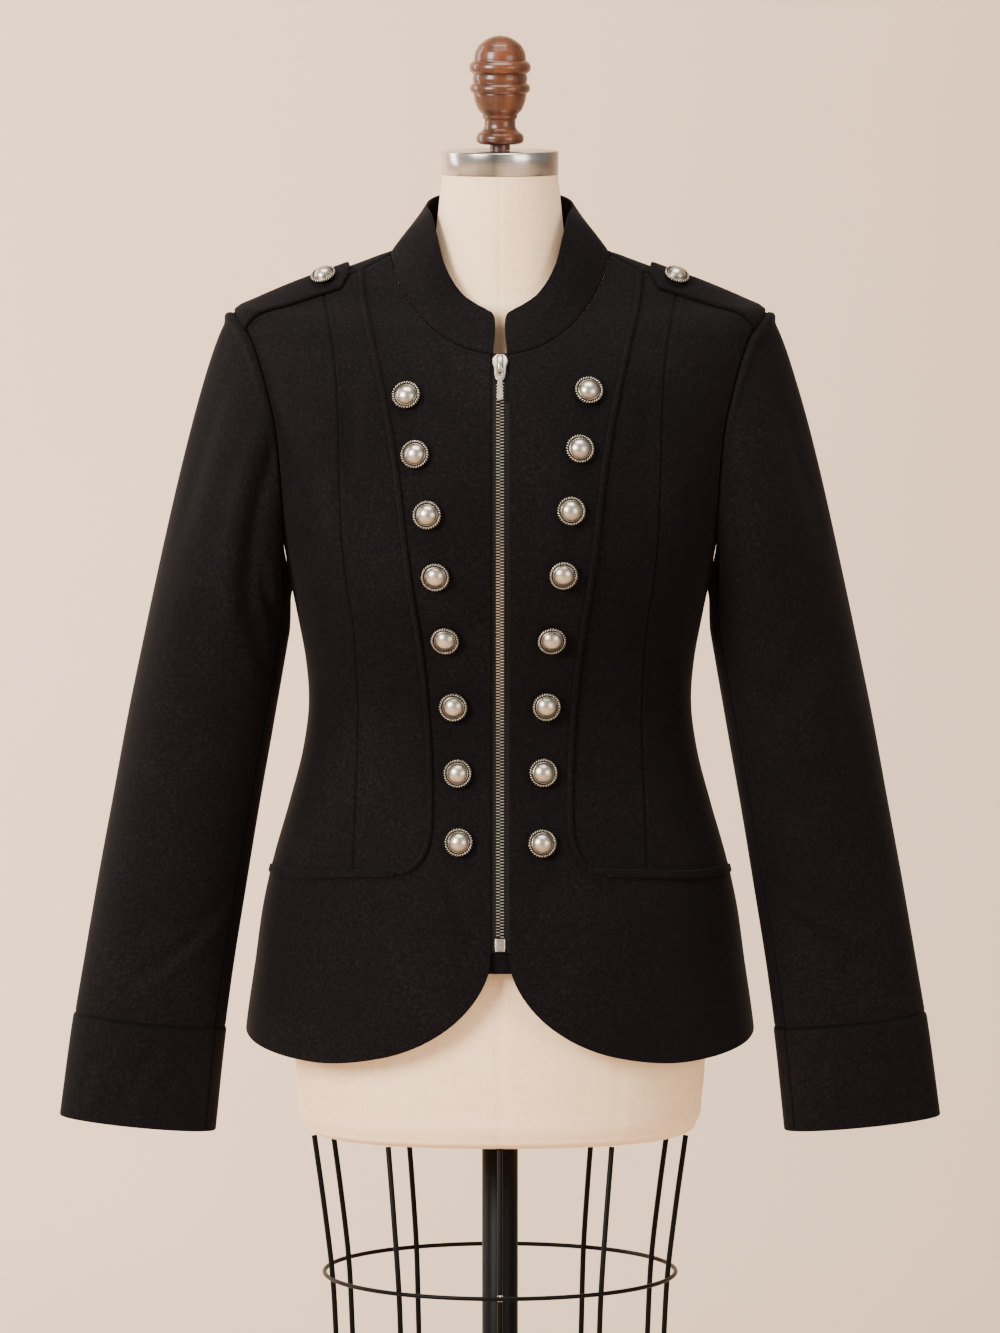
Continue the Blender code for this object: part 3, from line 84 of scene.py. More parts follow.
def addLamps():
    for name, (place, target, width, height, watts, colour) in lamps.items():
        data = bpy.data.lights.new(name, "AREA")
        data.shape = "RECTANGLE"
        data.size = width
        data.size_y = height
        data.energy = watts
        data.color = colour
        lamp = bpy.data.objects.new(name, data)
        bpy.context.scene.collection.objects.link(lamp)
        lamp.location = place
        toTarget = Vector(target) - Vector(place)
        lamp.rotation_mode = "QUATERNION"
        lamp.rotation_quaternion = toTarget.to_track_quat("-Z", "Y")
    world = bpy.data.worlds.new("softRoom")
    world.use_nodes = True
    world.node_tree.nodes["Background"].inputs["Color"].default_value = (1.0, 0.95, 0.89, 1.0)
    world.node_tree.nodes["Background"].inputs["Strength"].default_value = 0.58
    bpy.context.scene.world = world


# ---- curves, grids and meshes ----

def smoothThrough(stations, values, at):
    # Cubic runs through the points, each with its neighbours' parabola slope,
    # carried on straight past both ends.
    order = np.argsort(stations)
    x, y = np.asarray(stations, float)[order], np.asarray(values, float)[order]
    step = np.diff(x)
    slope = np.diff(y) / step
    tangent = np.empty_like(y)
    tangent[0], tangent[-1] = slope[0], slope[-1]
    tangent[1:-1] = (slope[:-1] * step[1:] + slope[1:] * step[:-1]) / (step[:-1] + step[1:])
    at = np.asarray(at, float)
    i = np.clip(np.searchsorted(x, at) - 1, 0, len(step) - 1)
    t = (at - x[i]) / step[i]
    inside = (
        (2 * t**3 - 3 * t**2 + 1) * y[i]
        + (t**3 - 2 * t**2 + t) * step[i] * tangent[i]
        + (3 * t**2 - 2 * t**3) * y[i + 1]
        + (t**3 - t**2) * step[i] * tangent[i + 1]
    )
    below = y[0] + tangent[0] * (at - x[0])
    above = y[-1] + tangent[-1] * (at - x[-1])
    return np.where(t < 0, below, np.where(t > 1, above, inside))


def columns(table):
    return np.array(table, float).T


def unit(vectors):
    return vectors / np.maximum(np.linalg.norm(vectors, axis=-1, keepdims=True), 1e-12)


def runLength(points):
    # Distance along a run of points, from 0 at its first.
    steps = np.linalg.norm(np.diff(points, axis=0), axis=-1)
    return np.concatenate([[0.0], np.cumsum(steps)])


def onLine(line, share):
    # Place at a share of a finely sampled line, straight between its samples.
    at = np.linspace(0.0, 1.0, len(line))
    return np.stack([np.interp(share, at, line[:, i]) for i in range(3)], axis=-1)


def joined(*parts):
    return np.concatenate([parts[0]] + [part[1:] for part in parts[1:]])


def graded(length, count):
    # Shares from 0 to 1 of each length: five close lines at both ends, even ones between.
    length = np.asarray(length, float).reshape(-1, 1)
    near = np.array([0.0, 0.0005, 0.0011, 0.0020, 0.0033])
    between = 0.0052 / length + (1 - 0.0104 / length) * np.linspace(0, 1, count)
    return np.concatenate([near / length, between, 1 - near[::-1] / length], axis=1)


def edgeDistances(points):
    # Distance over the surface from each point of a grid to the grid's four edges.
    over = np.linalg.norm(np.diff(points, axis=1), axis=-1)
    over = np.concatenate([np.zeros((len(over), 1)), np.cumsum(over, axis=1)], axis=1)
    down = np.linalg.norm(np.diff(points, axis=0), axis=-1)
    down = np.concatenate([np.zeros((1, down.shape[1])), np.cumsum(down, axis=0)])
    return {"inner": over, "outer": over[:, -1:] - over, "top": down, "foot": down[-1:] - down}


def gridNormals(points, ring=False):
    # Across the rows times down the columns.
    down = np.gradient(points, axis=0)
    if ring:
        over = np.roll(points, -1, axis=1) - np.roll(points, 1, axis=1)
    else:
        over = np.gradient(points, axis=1)
    return unit(np.cross(over, down))


def gridQuads(index):
    corners = [index[:-1, :-1], index[1:, :-1], index[1:, 1:], index[:-1, 1:]]
    return np.stack(corners, axis=-1).reshape(-1, 4)


def addPiece(name, points, faceSets, material, uv=None, body="garment", sharp=None):
    # Mesh from arrays of points, triangles and quads, which rides on a body.
    points = np.asarray(points, np.float32)
    corners = np.concatenate([faces.ravel() for faces in faceSets]).astype(np.int32)
    sizes = np.concatenate([np.full(len(faces), faces.shape[1]) for faces in faceSets])
    starts = np.concatenate([[0], np.cumsum(sizes)[:-1]]).astype(np.int32)
    mesh = bpy.data.meshes.new(name)
    mesh.vertices.add(len(points))
    mesh.vertices.foreach_set("co", points.ravel())
    mesh.loops.add(len(corners))
    mesh.polygons.add(len(sizes))
    mesh.polygons.foreach_set("loop_start", starts)
    mesh.polygons.foreach_set("vertices", corners)
    mesh.update(calc_edges=True)
    if uv is not None:
        layer = mesh.uv_layers.new(name="cut")
        layer.uv.foreach_set("vector", np.asarray(uv, np.float32)[corners].ravel())
    mesh.shade_smooth()
    if sharp is not None:
        mesh.set_sharp_from_angle(angle=math.radians(sharp))
    mesh.materials.append(material)
    piece = bpy.data.objects.new(name, mesh)
    bpy.context.scene.collection.objects.link(piece)
    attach(piece, body)
    return piece


def facingOut(faceSets, points, outward, index):
    # Turns every face round when the outer quads look against the outward directions.
    quads = faceSets[0]
    across = points[quads[:, 2]] - points[quads[:, 0]]
    down = points[quads[:, 3]] - points[quads[:, 1]]
    facing = (np.cross(across, down) * outward.reshape(-1, 3)[quads[:, 0]]).sum()
    return [faces[:, ::-1] for faces in faceSets] if facing < 0 else faceSets


def clothWall(outer, normals, thick, ring=False):
    # Closed wall of cloth: the outer grid, the inner grid a thickness under it, and
    # round its edges two more rows that swell out a little, as a turned edge does.
    rows, count = outer.shape[:2]
    thick = np.broadcast_to(np.asarray(thick, float), (rows, count))[..., None]
    inner = outer - thick * normals
    push = np.zeros_like(outer)
    push[0] += unit(outer[0] - outer[1])
    push[-1] += unit(outer[-1] - outer[-2])
    if not ring:
        push[:, 0] += unit(outer[:, 0] - outer[:, 1])
        push[:, -1] += unit(outer[:, -1] - outer[:, -2])
    index = np.arange(rows * count).reshape(rows, count)
    if ring:
        loops = [np.append(index[0], index[0, 0]), np.append(index[-1], index[-1, 0])[::-1]]
        shell = np.concatenate([index, index[:, :1]], axis=1)
    else:
        loops = [np.concatenate([index[0], index[1:, -1], index[-1, -2::-1], index[-2::-1, 0]])]
        shell = index
    total = rows * count
    points = [outer.reshape(-1, 3), inner.reshape(-1, 3)]
    faceSets = [gridQuads(shell), gridQuads(shell + total)[:, ::-1]]
    flatOuter, flatInner, flatPush = (a.reshape(-1, 3) for a in (outer, inner, push))
    flatThick = thick.reshape(-1, 1)
    source = [np.arange(total), np.arange(total)]
    start = 2 * total
    for loop in loops:
        ids = loop[:-1]
        swell = 0.32 * flatThick[ids] * flatPush[ids]
        rings = [ids]
        for share in (0.25, 0.75):
            points.append(flatOuter[ids] * (1 - share) + flatInner[ids] * share + swell)
            source.append(ids)
            rings.append(np.arange(start, start + len(ids)))
            start += len(ids)
        rings.append(ids + total)
        for near, far in zip(rings, rings[1:]):
            quad = [near, far, np.roll(far, -1), np.roll(near, -1)]
            faceSets.append(np.stack(quad, axis=-1)[:, ::-1])
    points = np.concatenate(points)
    return points, facingOut(faceSets, points, normals, index), np.concatenate(source)


def addTube(name, path, across, out, outline, material, closed=False, sharp=None, body="garment", uv=True):
    # Solid with a level outline carried along a path: place + across * x + out * y.
    rings = (
        path[:, None]
        + across[:, None] * outline[None, :, :1]
        + out[:, None] * outline[None, :, 1:2]
    )
    rows, count = rings.shape[:2]
    index = np.arange(rows * count).reshape(rows, count)
    shell = np.concatenate([index, index[:, :1]], axis=1)
    points = rings.reshape(-1, 3)
    run = runLength(path)
    if closed:
        shell = np.concatenate([shell, shell[:1]])
        faceSets = [gridQuads(shell)]
    else:
        points = np.concatenate([points, rings[0].mean(axis=0)[None], rings[-1].mean(axis=0)[None]])
        first = np.stack([np.roll(index[0], -1), index[0], np.full(count, rows * count)], axis=-1)
        last = np.stack([index[-1], np.roll(index[-1], -1), np.full(count, rows * count + 1)], axis=-1)
        faceSets = [gridQuads(shell), first[:, ::-1], last[:, ::-1]]
    outward = rings - path[:, None] - (out * outline[:, 1].mean())[:, None]
    quads = faceSets[0]
    span = np.cross(points[quads[:, 2]] - points[quads[:, 0]], points[quads[:, 3]] - points[quads[:, 1]])
    if (span * outward.reshape(-1, 3)[quads[:, 0]]).sum() < 0:
        faceSets = [faces[:, ::-1] for faces in faceSets]
    around = runLength(np.concatenate([outline, np.zeros((len(outline), 1))], axis=1))
    map2 = np.stack([np.tile(around, rows), np.repeat(run, count)], axis=-1)
    if not closed:
        map2 = np.concatenate([map2, map2[:1], map2[-1:]])
    return addPiece(name, points, faceSets, material, map2 if uv else None, body, sharp)


def addTurned(name, profile, sides, material, centre=(0.0, 0.0), sharp=None):
    # Profile of heights and radii turned round the upright axis. A radius of 0 is a pole.
    height, radius = columns(profile)
    angle = 2 * np.pi * np.arange(sides) / sides
    rings = np.stack(
        [
            centre[0] + radius[:, None] * np.cos(angle),
            centre[1] + radius[:, None] * np.sin(angle),
            height[:, None] + 0 * angle,
        ],
        axis=-1,
    )
    points = rings.reshape(-1, 3)
    index = np.arange(len(points)).reshape(len(profile), sides)
    shell = np.concatenate([index, index[:, :1]], axis=1)
    quads = gridQuads(shell)[:, ::-1]
    ends = np.array([[centre[0], centre[1], height[0]], [centre[0], centre[1], height[-1]]])
    points = np.concatenate([points, ends])
    low = np.stack([np.roll(index[0], -1), index[0], np.full(sides, len(points) - 2)], axis=-1)
    high = np.stack([index[-1], np.roll(index[-1], -1), np.full(sides, len(points) - 1)], axis=-1)
    return addPiece(name, points, [quads, low, high], material, sharp=sharp)


# ---- shaders ----

class Value:
    # A shader socket that stands in sums with numbers and other sockets.
    def __init__(self, finish, socket):
        self.finish = finish
        self.socket = socket

    def sum(self, operation, first, second):
        return self.finish.node("ShaderNodeMath", {"operation": operation}, {0: first, 1: second})

    def __add__(self, other):
        return self.sum("ADD", self, other)

    def __radd__(self, other):
        return self.sum("ADD", other, self)

    def __sub__(self, other):
        return self.sum("SUBTRACT", self, other)

    def __rsub__(self, other):
        return self.sum("SUBTRACT", other, self)

    def __mul__(self, other):
        return self.sum("MULTIPLY", self, other)

    def __rmul__(self, other):
        return self.sum("MULTIPLY", other, self)

    def __truediv__(self, other):
        return self.sum("DIVIDE", self, other)

    def __pow__(self, other):
        return self.sum("POWER", self, other)


class Finish:
    # A material with its Principled shader. Its constants go on the shader's own sockets.
    def __init__(self, name, constants=None):
        self.material = bpy.data.materials.new(name)
        self.material.use_nodes = True
        self.tree = self.material.node_tree
        self.shader = self.tree.nodes["Principled BSDF"]
        for socket, value in (constants or {}).items():
            self.shader.inputs[socket].default_value = value

    def node(self, kind, settings=None, inputs=None, output=0):
        made = self.tree.nodes.new(kind)
        for name, value in (settings or {}).items():
            if name == "stops":
                self.setStops(made.color_ramp, value)
            else:
                setattr(made, name, value)
        for socket, value in (inputs or {}).items():
            self.feed(made.inputs[socket], value)
        return Value(self, made.outputs[output])

    def setStops(self, ramp, stops):
        while len(ramp.elements) < len(stops):
            ramp.elements.new(0.5)
        for element, (place, shade) in zip(ramp.elements, stops):
            element.position = place
            element.color = (shade, shade, shade, 1.0) if isinstance(shade, float) else (*shade, 1.0)

    def feed(self, socket, value):
        if isinstance(value, Value):
            self.tree.links.new(value.socket, socket)
        elif isinstance(value, tuple) and len(value) == 3 and socket.type == "RGBA":
            socket.default_value = (*value, 1.0)
        else:
            socket.default_value = value

    def object(self, scale=(1.0, 1.0, 1.0), turn=(0.0, 0.0, 0.0)):
        place = self.node("ShaderNodeTexCoord", output="Object")
        return self.node("ShaderNodeMapping", {}, {"Vector": place, "Scale": scale, "Rotation": turn})

    def cut(self, scale=(1.0, 1.0, 1.0), turn=(0.0, 0.0, 0.0)):
        # The piece's own flat cut, in metres.
        place = self.node("ShaderNodeUVMap", {"uv_map": "cut"})
        return self.node("ShaderNodeMapping", {}, {"Vector": place, "Scale": scale, "Rotation": turn})

    def noise(self, vector, scale, detail=2.0, roughness=0.5, distortion=0.0):
        inputs = {"Vector": vector, "Scale": scale, "Detail": detail, "Roughness": roughness, "Distortion": distortion}
        return self.node("ShaderNodeTexNoise", {}, inputs)

    def ramp(self, value, stops):
        return self.node("ShaderNodeValToRGB", {"stops": stops}, {"Fac": value})

    def mixed(self, factor, first, second, blend="MIX"):
        settings = {"data_type": "RGBA", "blend_type": blend}
        return self.node("ShaderNodeMix", settings, {0: factor, 6: first, 7: second}, output=2)

    def wave(self, vector, scale, direction="X", distortion=0.0):
        settings = {"wave_type": "BANDS", "bands_direction": direction}
        return self.node("ShaderNodeTexWave", settings, {"Vector": vector, "Scale": scale, "Distortion": distortion}, 1)

    def bump(self, height, distance, strength=1.0, under=None):
        inputs = {"Height": height, "Distance": distance, "Strength": strength}
        if under is not None:
            inputs["Normal"] = under
        return self.node("ShaderNodeBump", {}, inputs)

    def surface(self, **links):
        for socket, value in links.items():
            words = {"colour": "Base Color", "roughness": "Roughness", "normal": "Normal", "metallic": "Metallic"}
            self.feed(self.shader.inputs[words[socket]], value)
        return self.material


def suiting():
    # Fine black twill with a soft nap: diagonal ribs, threads and slow cloudiness, with painted shade along the seams.
    cloth = Finish("blackSuiting", {
        "Sheen Weight": 0.022,
        "Sheen Roughness": 0.50,
        "Sheen Tint": (1.0, 0.84, 0.88, 1.0),
        "Specular IOR Level": 0.06,
    })
    ribs = cloth.wave(cloth.cut((1, 1, 1), (0, 0, math.radians(63))), 170.0)
    threads = cloth.noise(cloth.cut((1500, 700, 1)), 1.0, 2.0, 0.6)
    fuzz = cloth.noise(cloth.object(), 430.0, 3.0, 0.70)
    cloud = cloth.noise(cloth.object(), 9.0, 3.0, 0.55)
    grain = ribs * 0.04 + threads * 0.36 + fuzz * 0.68
    tone = grain * 0.72 + cloud * 0.22
    seam = cloth.node("ShaderNodeAttribute", {"attribute_name": "seam"}, output="Fac")
    colour = cloth.ramp(tone, [(0.36, (0.0006, 0.0004, 0.0005)), (0.52, (0.0032, 0.0024, 0.0028)), (0.70, (0.0110, 0.0082, 0.0094))])
    # Painted shade: where the "seam" mark is high the colour goes nearly black, in and beside seams, stitch grooves and
    # strip edges.
    colour = cloth.mixed(seam, colour, (0.0003, 0.0002, 0.0002))
    rough = 0.80 + cloud * 0.08
    return cloth.surface(colour=colour, roughness=rough, normal=cloth.bump(grain, 0.00022, 0.42))


def tapeWeave():
    # Zip tape: a flat rib weave, a little greyer than the cloth.
    tape = Finish("zipTapeWeave", {"Sheen Weight": 0.03, "Specular IOR Level": 0.1})
    ribs = tape.wave(tape.object((1, 1, 1)), 420.0, "Z")
    rows = tape.wave(tape.object((1, 1, 1)), 300.0, "X")
    grain = ribs * 0.6 + rows * 0.4
    colour = tape.ramp(grain, [(0.1, (0.002, 0.0016, 0.0016)), (0.9, (0.011, 0.0095, 0.009))])
    return tape.surface(colour=colour, roughness=0.7, normal=tape.bump(grain, 0.00015, 0.7))


def agedSilver():
    # Bright on the high places, brown patina in the grooves and painted shade on the domes' flanks, which the piece's
    # "hollow" marks.
    silver = Finish("agedSilver")
    hollow = silver.node("ShaderNodeAttribute", {"attribute_name": "hollow"}, output="Fac")
    stain = silver.noise(silver.object(), 420.0, 4.0, 0.7)
    dark = silver.ramp(hollow + stain * 0.45 - 0.16, [(0.08, 0.0), (0.70, 1.0)])
    colour = silver.mixed(dark, (0.56, 0.505, 0.42), (0.016, 0.010, 0.006))
    scuffs = silver.noise(silver.object(), 900.0, 3.0, 0.6)
    return silver.surface(
        colour=colour,
        metallic=1.0 - 0.15 * hollow,
        roughness=0.24 + scuffs * 0.12 + hollow * 0.12,
        normal=silver.bump(stain, 0.00018, 0.5),
    )


def satinNickel(name, dull, bright):
    # Worn between two shades, with painted shade where the piece marks "hollow".
    nickel = Finish(name, {"Metallic": 1.0})
    wear = nickel.noise(nickel.object(), 700.0, 3.0, 0.6)
    colour = nickel.ramp(wear, [(0.25, dull), (0.75, bright)])
    hollow = nickel.node("ShaderNodeAttribute", {"attribute_name": "hollow"}, output="Fac")
    colour = nickel.mixed(hollow, colour, (0.020, 0.015, 0.011))
    return nickel.surface(colour=colour, roughness=0.26 + wear * 0.16, normal=nickel.bump(wear, 0.00005, 0.4))


def formLinen():
    # Plain weave with slubs: two rows of threads, uneven in thickness and shade.
    linen = Finish("formLinen", {"Sheen Weight": 0.05, "Specular IOR Level": 0.2})
    warp = linen.noise(linen.object((900, 900, 60)), 1.0, 2.0, 0.6)
    weft = linen.noise(linen.object((70, 70, 1000)), 1.0, 2.0, 0.6)
    cloud = linen.noise(linen.object(), 14.0, 3.0, 0.55)
    weave = warp * 0.5 + weft * 0.5
    tone = weave * 0.75 + cloud * 0.25
    colour = linen.ramp(tone, [(0.30, (0.84, 0.560, 0.330)), (0.50, (0.99, 0.705, 0.440)), (0.72, (1.00, 0.800, 0.550))])
    # Painted shadow: the "hollow" mark darkens the linen under the collar's gap
    hollow = linen.node("ShaderNodeAttribute", {"attribute_name": "hollow"}, output="Fac")
    colour = linen.mixed(hollow, colour, (0.060, 0.030, 0.016))
    return linen.surface(colour=colour, roughness=0.85, normal=linen.bump(weave, 0.00018, 0.5))


def brushedSteel():
    # Brushed round the rim, so the scratches are long across and short upwards, with painted reflection bands across
    # it.
    steel = Finish("brushedSteel", {"Metallic": 1.0})
    lines = steel.noise(steel.object((30, 30, 2600)), 1.0, 3.0, 0.6)
    colour = steel.ramp(lines, [(0.2, (0.50, 0.475, 0.445)), (0.8, (0.74, 0.705, 0.665))])
    # Painted reflection: lighter and darker bands from side to side across the object
    across = steel.node("ShaderNodeSeparateXYZ", {}, {"Vector": steel.object((9.5, 9.5, 9.5))}, 0)
    stops = [(0.02, 0.30), (0.12, 0.95), (0.24, 0.90), (0.36, 0.42), (0.46, 0.30), (0.55, 0.95), (0.66, 1.0), (0.78, 0.52), (0.92, 0.40), (1.0, 0.22)]
    paintedReflectionBands = steel.ramp(across + 0.5, stops)
    colour = steel.mixed(1.0, colour, paintedReflectionBands, "MULTIPLY")
    return steel.surface(colour=colour, roughness=0.16 + lines * 0.16, normal=steel.bump(lines, 0.00004, 0.4))


def turnedWood():
    # Growth rings stretched along the axis, under a polish.
    wood = Finish("polishedWood", {"Coat Weight": 0.35, "Coat Roughness": 0.14, "Specular IOR Level": 0.35})
    grain = wood.noise(wood.object((60, 60, 9)), 1.0, 4.0, 0.6, 0.6)
    pores = wood.noise(wood.object((900, 900, 60)), 1.0, 2.0, 0.6)
    tone = grain * 0.8 + pores * 0.2
    colour = wood.ramp(tone, [(0.30, (0.026, 0.0065, 0.0018)), (0.50, (0.088, 0.0225, 0.0060)), (0.72, (0.175, 0.054, 0.016))])
    hollow = wood.node("ShaderNodeAttribute", {"attribute_name": "hollow"}, output="Fac")
    colour = wood.mixed(hollow, colour, (0.018, 0.004, 0.0015))
    return wood.surface(colour=colour, roughness=0.30 + pores * 0.1, normal=wood.bump(tone, 0.0001, 0.3))


def blackCoat():
    coat = Finish("blackPowderCoat", {"Specular IOR Level": 0.07})
    peel = coat.noise(coat.object(), 900.0, 2.0, 0.5)
    colour = coat.ramp(peel, [(0.3, (0.0015, 0.0015, 0.0017)), (0.7, (0.004, 0.0038, 0.0038))])
    return coat.surface(colour=colour, roughness=0.36 + peel * 0.12, normal=coat.bump(peel, 0.00006, 0.5))


def paleRoom():
    room = Finish("warmPaleRoom", {"Specular IOR Level": 0.1})
    cloud = room.noise(room.object(), 1.3, 2.0, 0.5)
    tooth = room.noise(room.object(), 160.0, 2.0, 0.5)
    colour = room.ramp(cloud * 0.8 + tooth * 0.2, [(0.3, (0.72, 0.545, 0.400)), (0.7, (0.76, 0.580, 0.430))])
    # Painted shade: a little darker towards the wearer's left, away from the key lamp
    across = room.node("ShaderNodeSeparateXYZ", {}, {"Vector": room.object((0.45, 0.45, 0.45))}, 0)
    colour = room.mixed(1.0, colour, room.ramp(across + 0.5, [(0.35, 1.0), (0.80, 0.86)]), "MULTIPLY")
    return room.surface(colour=colour, roughness=0.95)


finishes = {
    "cloth": suiting(),
    "zip_tape": tapeWeave(),
    "silver": agedSilver(),
    "nickel": satinNickel("satinNickel", (0.30, 0.26, 0.21), (0.56, 0.50, 0.42)),
    "teeth": satinNickel("brightNickel", (0.44, 0.39, 0.32), (0.74, 0.68, 0.58)),
    "linen": formLinen(),
    "steel": brushedSteel(),
    "wood": turnedWood(),
    "black_metal": blackCoat(),
    "room": paleRoom(),
}


def addRoom():
    # One sheet: floor, a quarter round of 1.2 m radius, and the wall behind.
    turn = np.linspace(0, np.pi / 2, 24)
    profile = [(-6.0, 0.0)] + [(2.2 + 1.2 * math.sin(a), 1.2 - 1.2 * math.cos(a)) for a in turn] + [(3.4, 6.0)]
    profile = np.array(profile)
    across = np.linspace(-7, 7, 3)
    grid = np.stack(
        [
            np.broadcast_to(across, (len(profile), 3)),
            np.repeat(profile[:, :1], 3, axis=1),
            np.repeat(profile[:, 1:], 3, axis=1),
        ],
        axis=-1,
    )
    mesh = bpy.data.meshes.new("room")
    quads = gridQuads(np.arange(grid.size // 3).reshape(grid.shape[:2]))
    mesh.from_pydata(grid.reshape(-1, 3).tolist(), [], quads[:, ::-1].tolist())
    mesh.shade_smooth()
    mesh.materials.append(finishes["room"])
    room = bpy.data.objects.new("room", mesh)
    bpy.context.scene.collection.objects.link(room)


addCamera()
addLamps()
addRoom()
print("camera, lamps and room")


# ---- the jacket's outer face ----

jacket = {
    "cloth": 0.0016,
    "doubled": 0.0026,
    "grid": 0.0034,         # spacing of the cloth's points
    "seamPull": 0.00007,
    "seamDip": 0.00060,
    "seamWidth": 0.0013,
    # strength and half width of the painted shade along the seams
    "seamPaintedShade": 0.92,
    "seamHalf": 0.0010,
    # height, half width, front depth, back depth, squareness
    "sections": (
        (0.6800, 0.1885, 0.1280, 0.1400, 2.15), (0.7100, 0.1855, 0.1260, 0.1370, 2.15),
        (0.7550, 0.1790, 0.1220, 0.1310, 2.15), (0.8000, 0.1725, 0.1165, 0.1230, 2.15),
        (0.8290, 0.1660, 0.1110, 0.1150, 2.15), (0.8730, 0.1535, 0.1020, 0.1020, 2.15),
        (0.9100, 0.1440, 0.0960, 0.0930, 2.15), (0.9460, 0.1395, 0.0940, 0.0890, 2.15),
        (0.9760, 0.1415, 0.0985, 0.0910, 2.20), (1.0050, 0.1467, 0.1070, 0.0950, 2.25),
        (1.0305, 0.1520, 0.1150, 0.0990, 2.30), (1.0700, 0.1630, 0.1200, 0.1040, 2.30),
        (1.1100, 0.1730, 0.1180, 0.1070, 2.25), (1.1500, 0.1815, 0.1100, 0.1080, 2.20),
        (1.1850, 0.1890, 0.0965, 0.1030, 2.10), (1.2100, 0.1940, 0.0800, 0.0950, 2.00),
        (1.2230, 0.1960, 0.0685, 0.0890, 1.90), (1.2305, 0.1932, 0.0600, 0.0850, 1.76),
        (1.2352, 0.1820, 0.0550, 0.0820, 1.64), (1.2425, 0.1653, 0.0480, 0.0775, 1.56),
        (1.2495, 0.1485, 0.0410, 0.0730, 1.54), (1.2607, 0.1179, 0.0310, 0.0650, 1.54),
        (1.2680, 0.0980, 0.0265, 0.0590, 1.56), (1.2745, 0.0795, 0.0235, 0.0530, 1.60),
        (1.2800, 0.0560, 0.0200, 0.0450, 1.60),
    ),
    "bust": {"swell": 0.0050, "height": 1.0650, "across": 0.0560},
}


def sectionAt(table, height):
    # Half width, front depth, back depth and squareness at each height.
    heights, *sizes = columns(table)
    return [smoothThrough(heights, size, height) for size in sizes]


def bustSwell(point):
    # A round bump forward over each side of the chest.
    bust = jacket["bust"]
    up = ((point[..., 2] - bust["height"]) / 0.050) ** 2
    aside = ((np.abs(point[..., 0]) - bust["across"]) / 0.036) ** 2
    return np.where(point[..., 1] < 0, bust["swell"] * np.exp(-up - aside), 0.0)


def bodyLevel(point):
    # (across / half width) ^ n + (deep / depth) ^ n - 1: 0 on the cloth, more outside.
    width, front, back, square = sectionAt(jacket["sections"], point[..., 2])
    deep = point[..., 1] + bustSwell(point)
    depth = np.where(deep < 0, front, back)
    return (np.abs(point[..., 0]) / width) ** square + (np.abs(deep) / depth) ** square - 1


def bodySlope(point):
    step = 0.0002 * np.eye(3)
    return np.stack([bodyLevel(point + move) - bodyLevel(point - move) for move in step], axis=-1) / 0.0004


def ontoBody(points):
    # Moves points along the slope till the level is 0.
    points = np.array(points, float)
    for _ in range(7):
        slope = bodySlope(points)
        points -= (bodyLevel(points) / (slope**2).sum(-1))[..., None] * slope
    return points


def bodyNormal(points):
    return unit(bodySlope(points))


def facePoint(across, height, back=False):
    # Point of the outer face seen from the front or the back.
    across, height = np.broadcast_arrays(np.asarray(across, float), np.asarray(height, float))
    width, front, rear, square = sectionAt(jacket["sections"], height)
    depth = (1 - np.clip(across / width, 0.0, 1.0) ** square) ** (1 / square)
    point = np.stack([across, rear * depth if back else -front * depth, height], axis=-1)
    point[..., 1] -= bustSwell(point)
    return point


def sidePoint(height):
    height = np.asarray(height, float)
    return facePoint(sectionAt(jacket["sections"], height)[0], height)


def topHeight(across, deep):
    # Height of the shoulder over a point of the plan, by halving.
    across, deep = np.broadcast_arrays(np.asarray(across, float), np.asarray(deep, float))
    low, high = np.full(across.shape, 1.14), np.full(across.shape, 1.2795)
    for _ in range(30):
        middle = (low + high) / 2
        inside = bodyLevel(np.stack([across, deep, middle], axis=-1)) < 0
        low, high = np.where(inside, middle, low), np.where(inside, high, middle)
    return (low + high) / 2


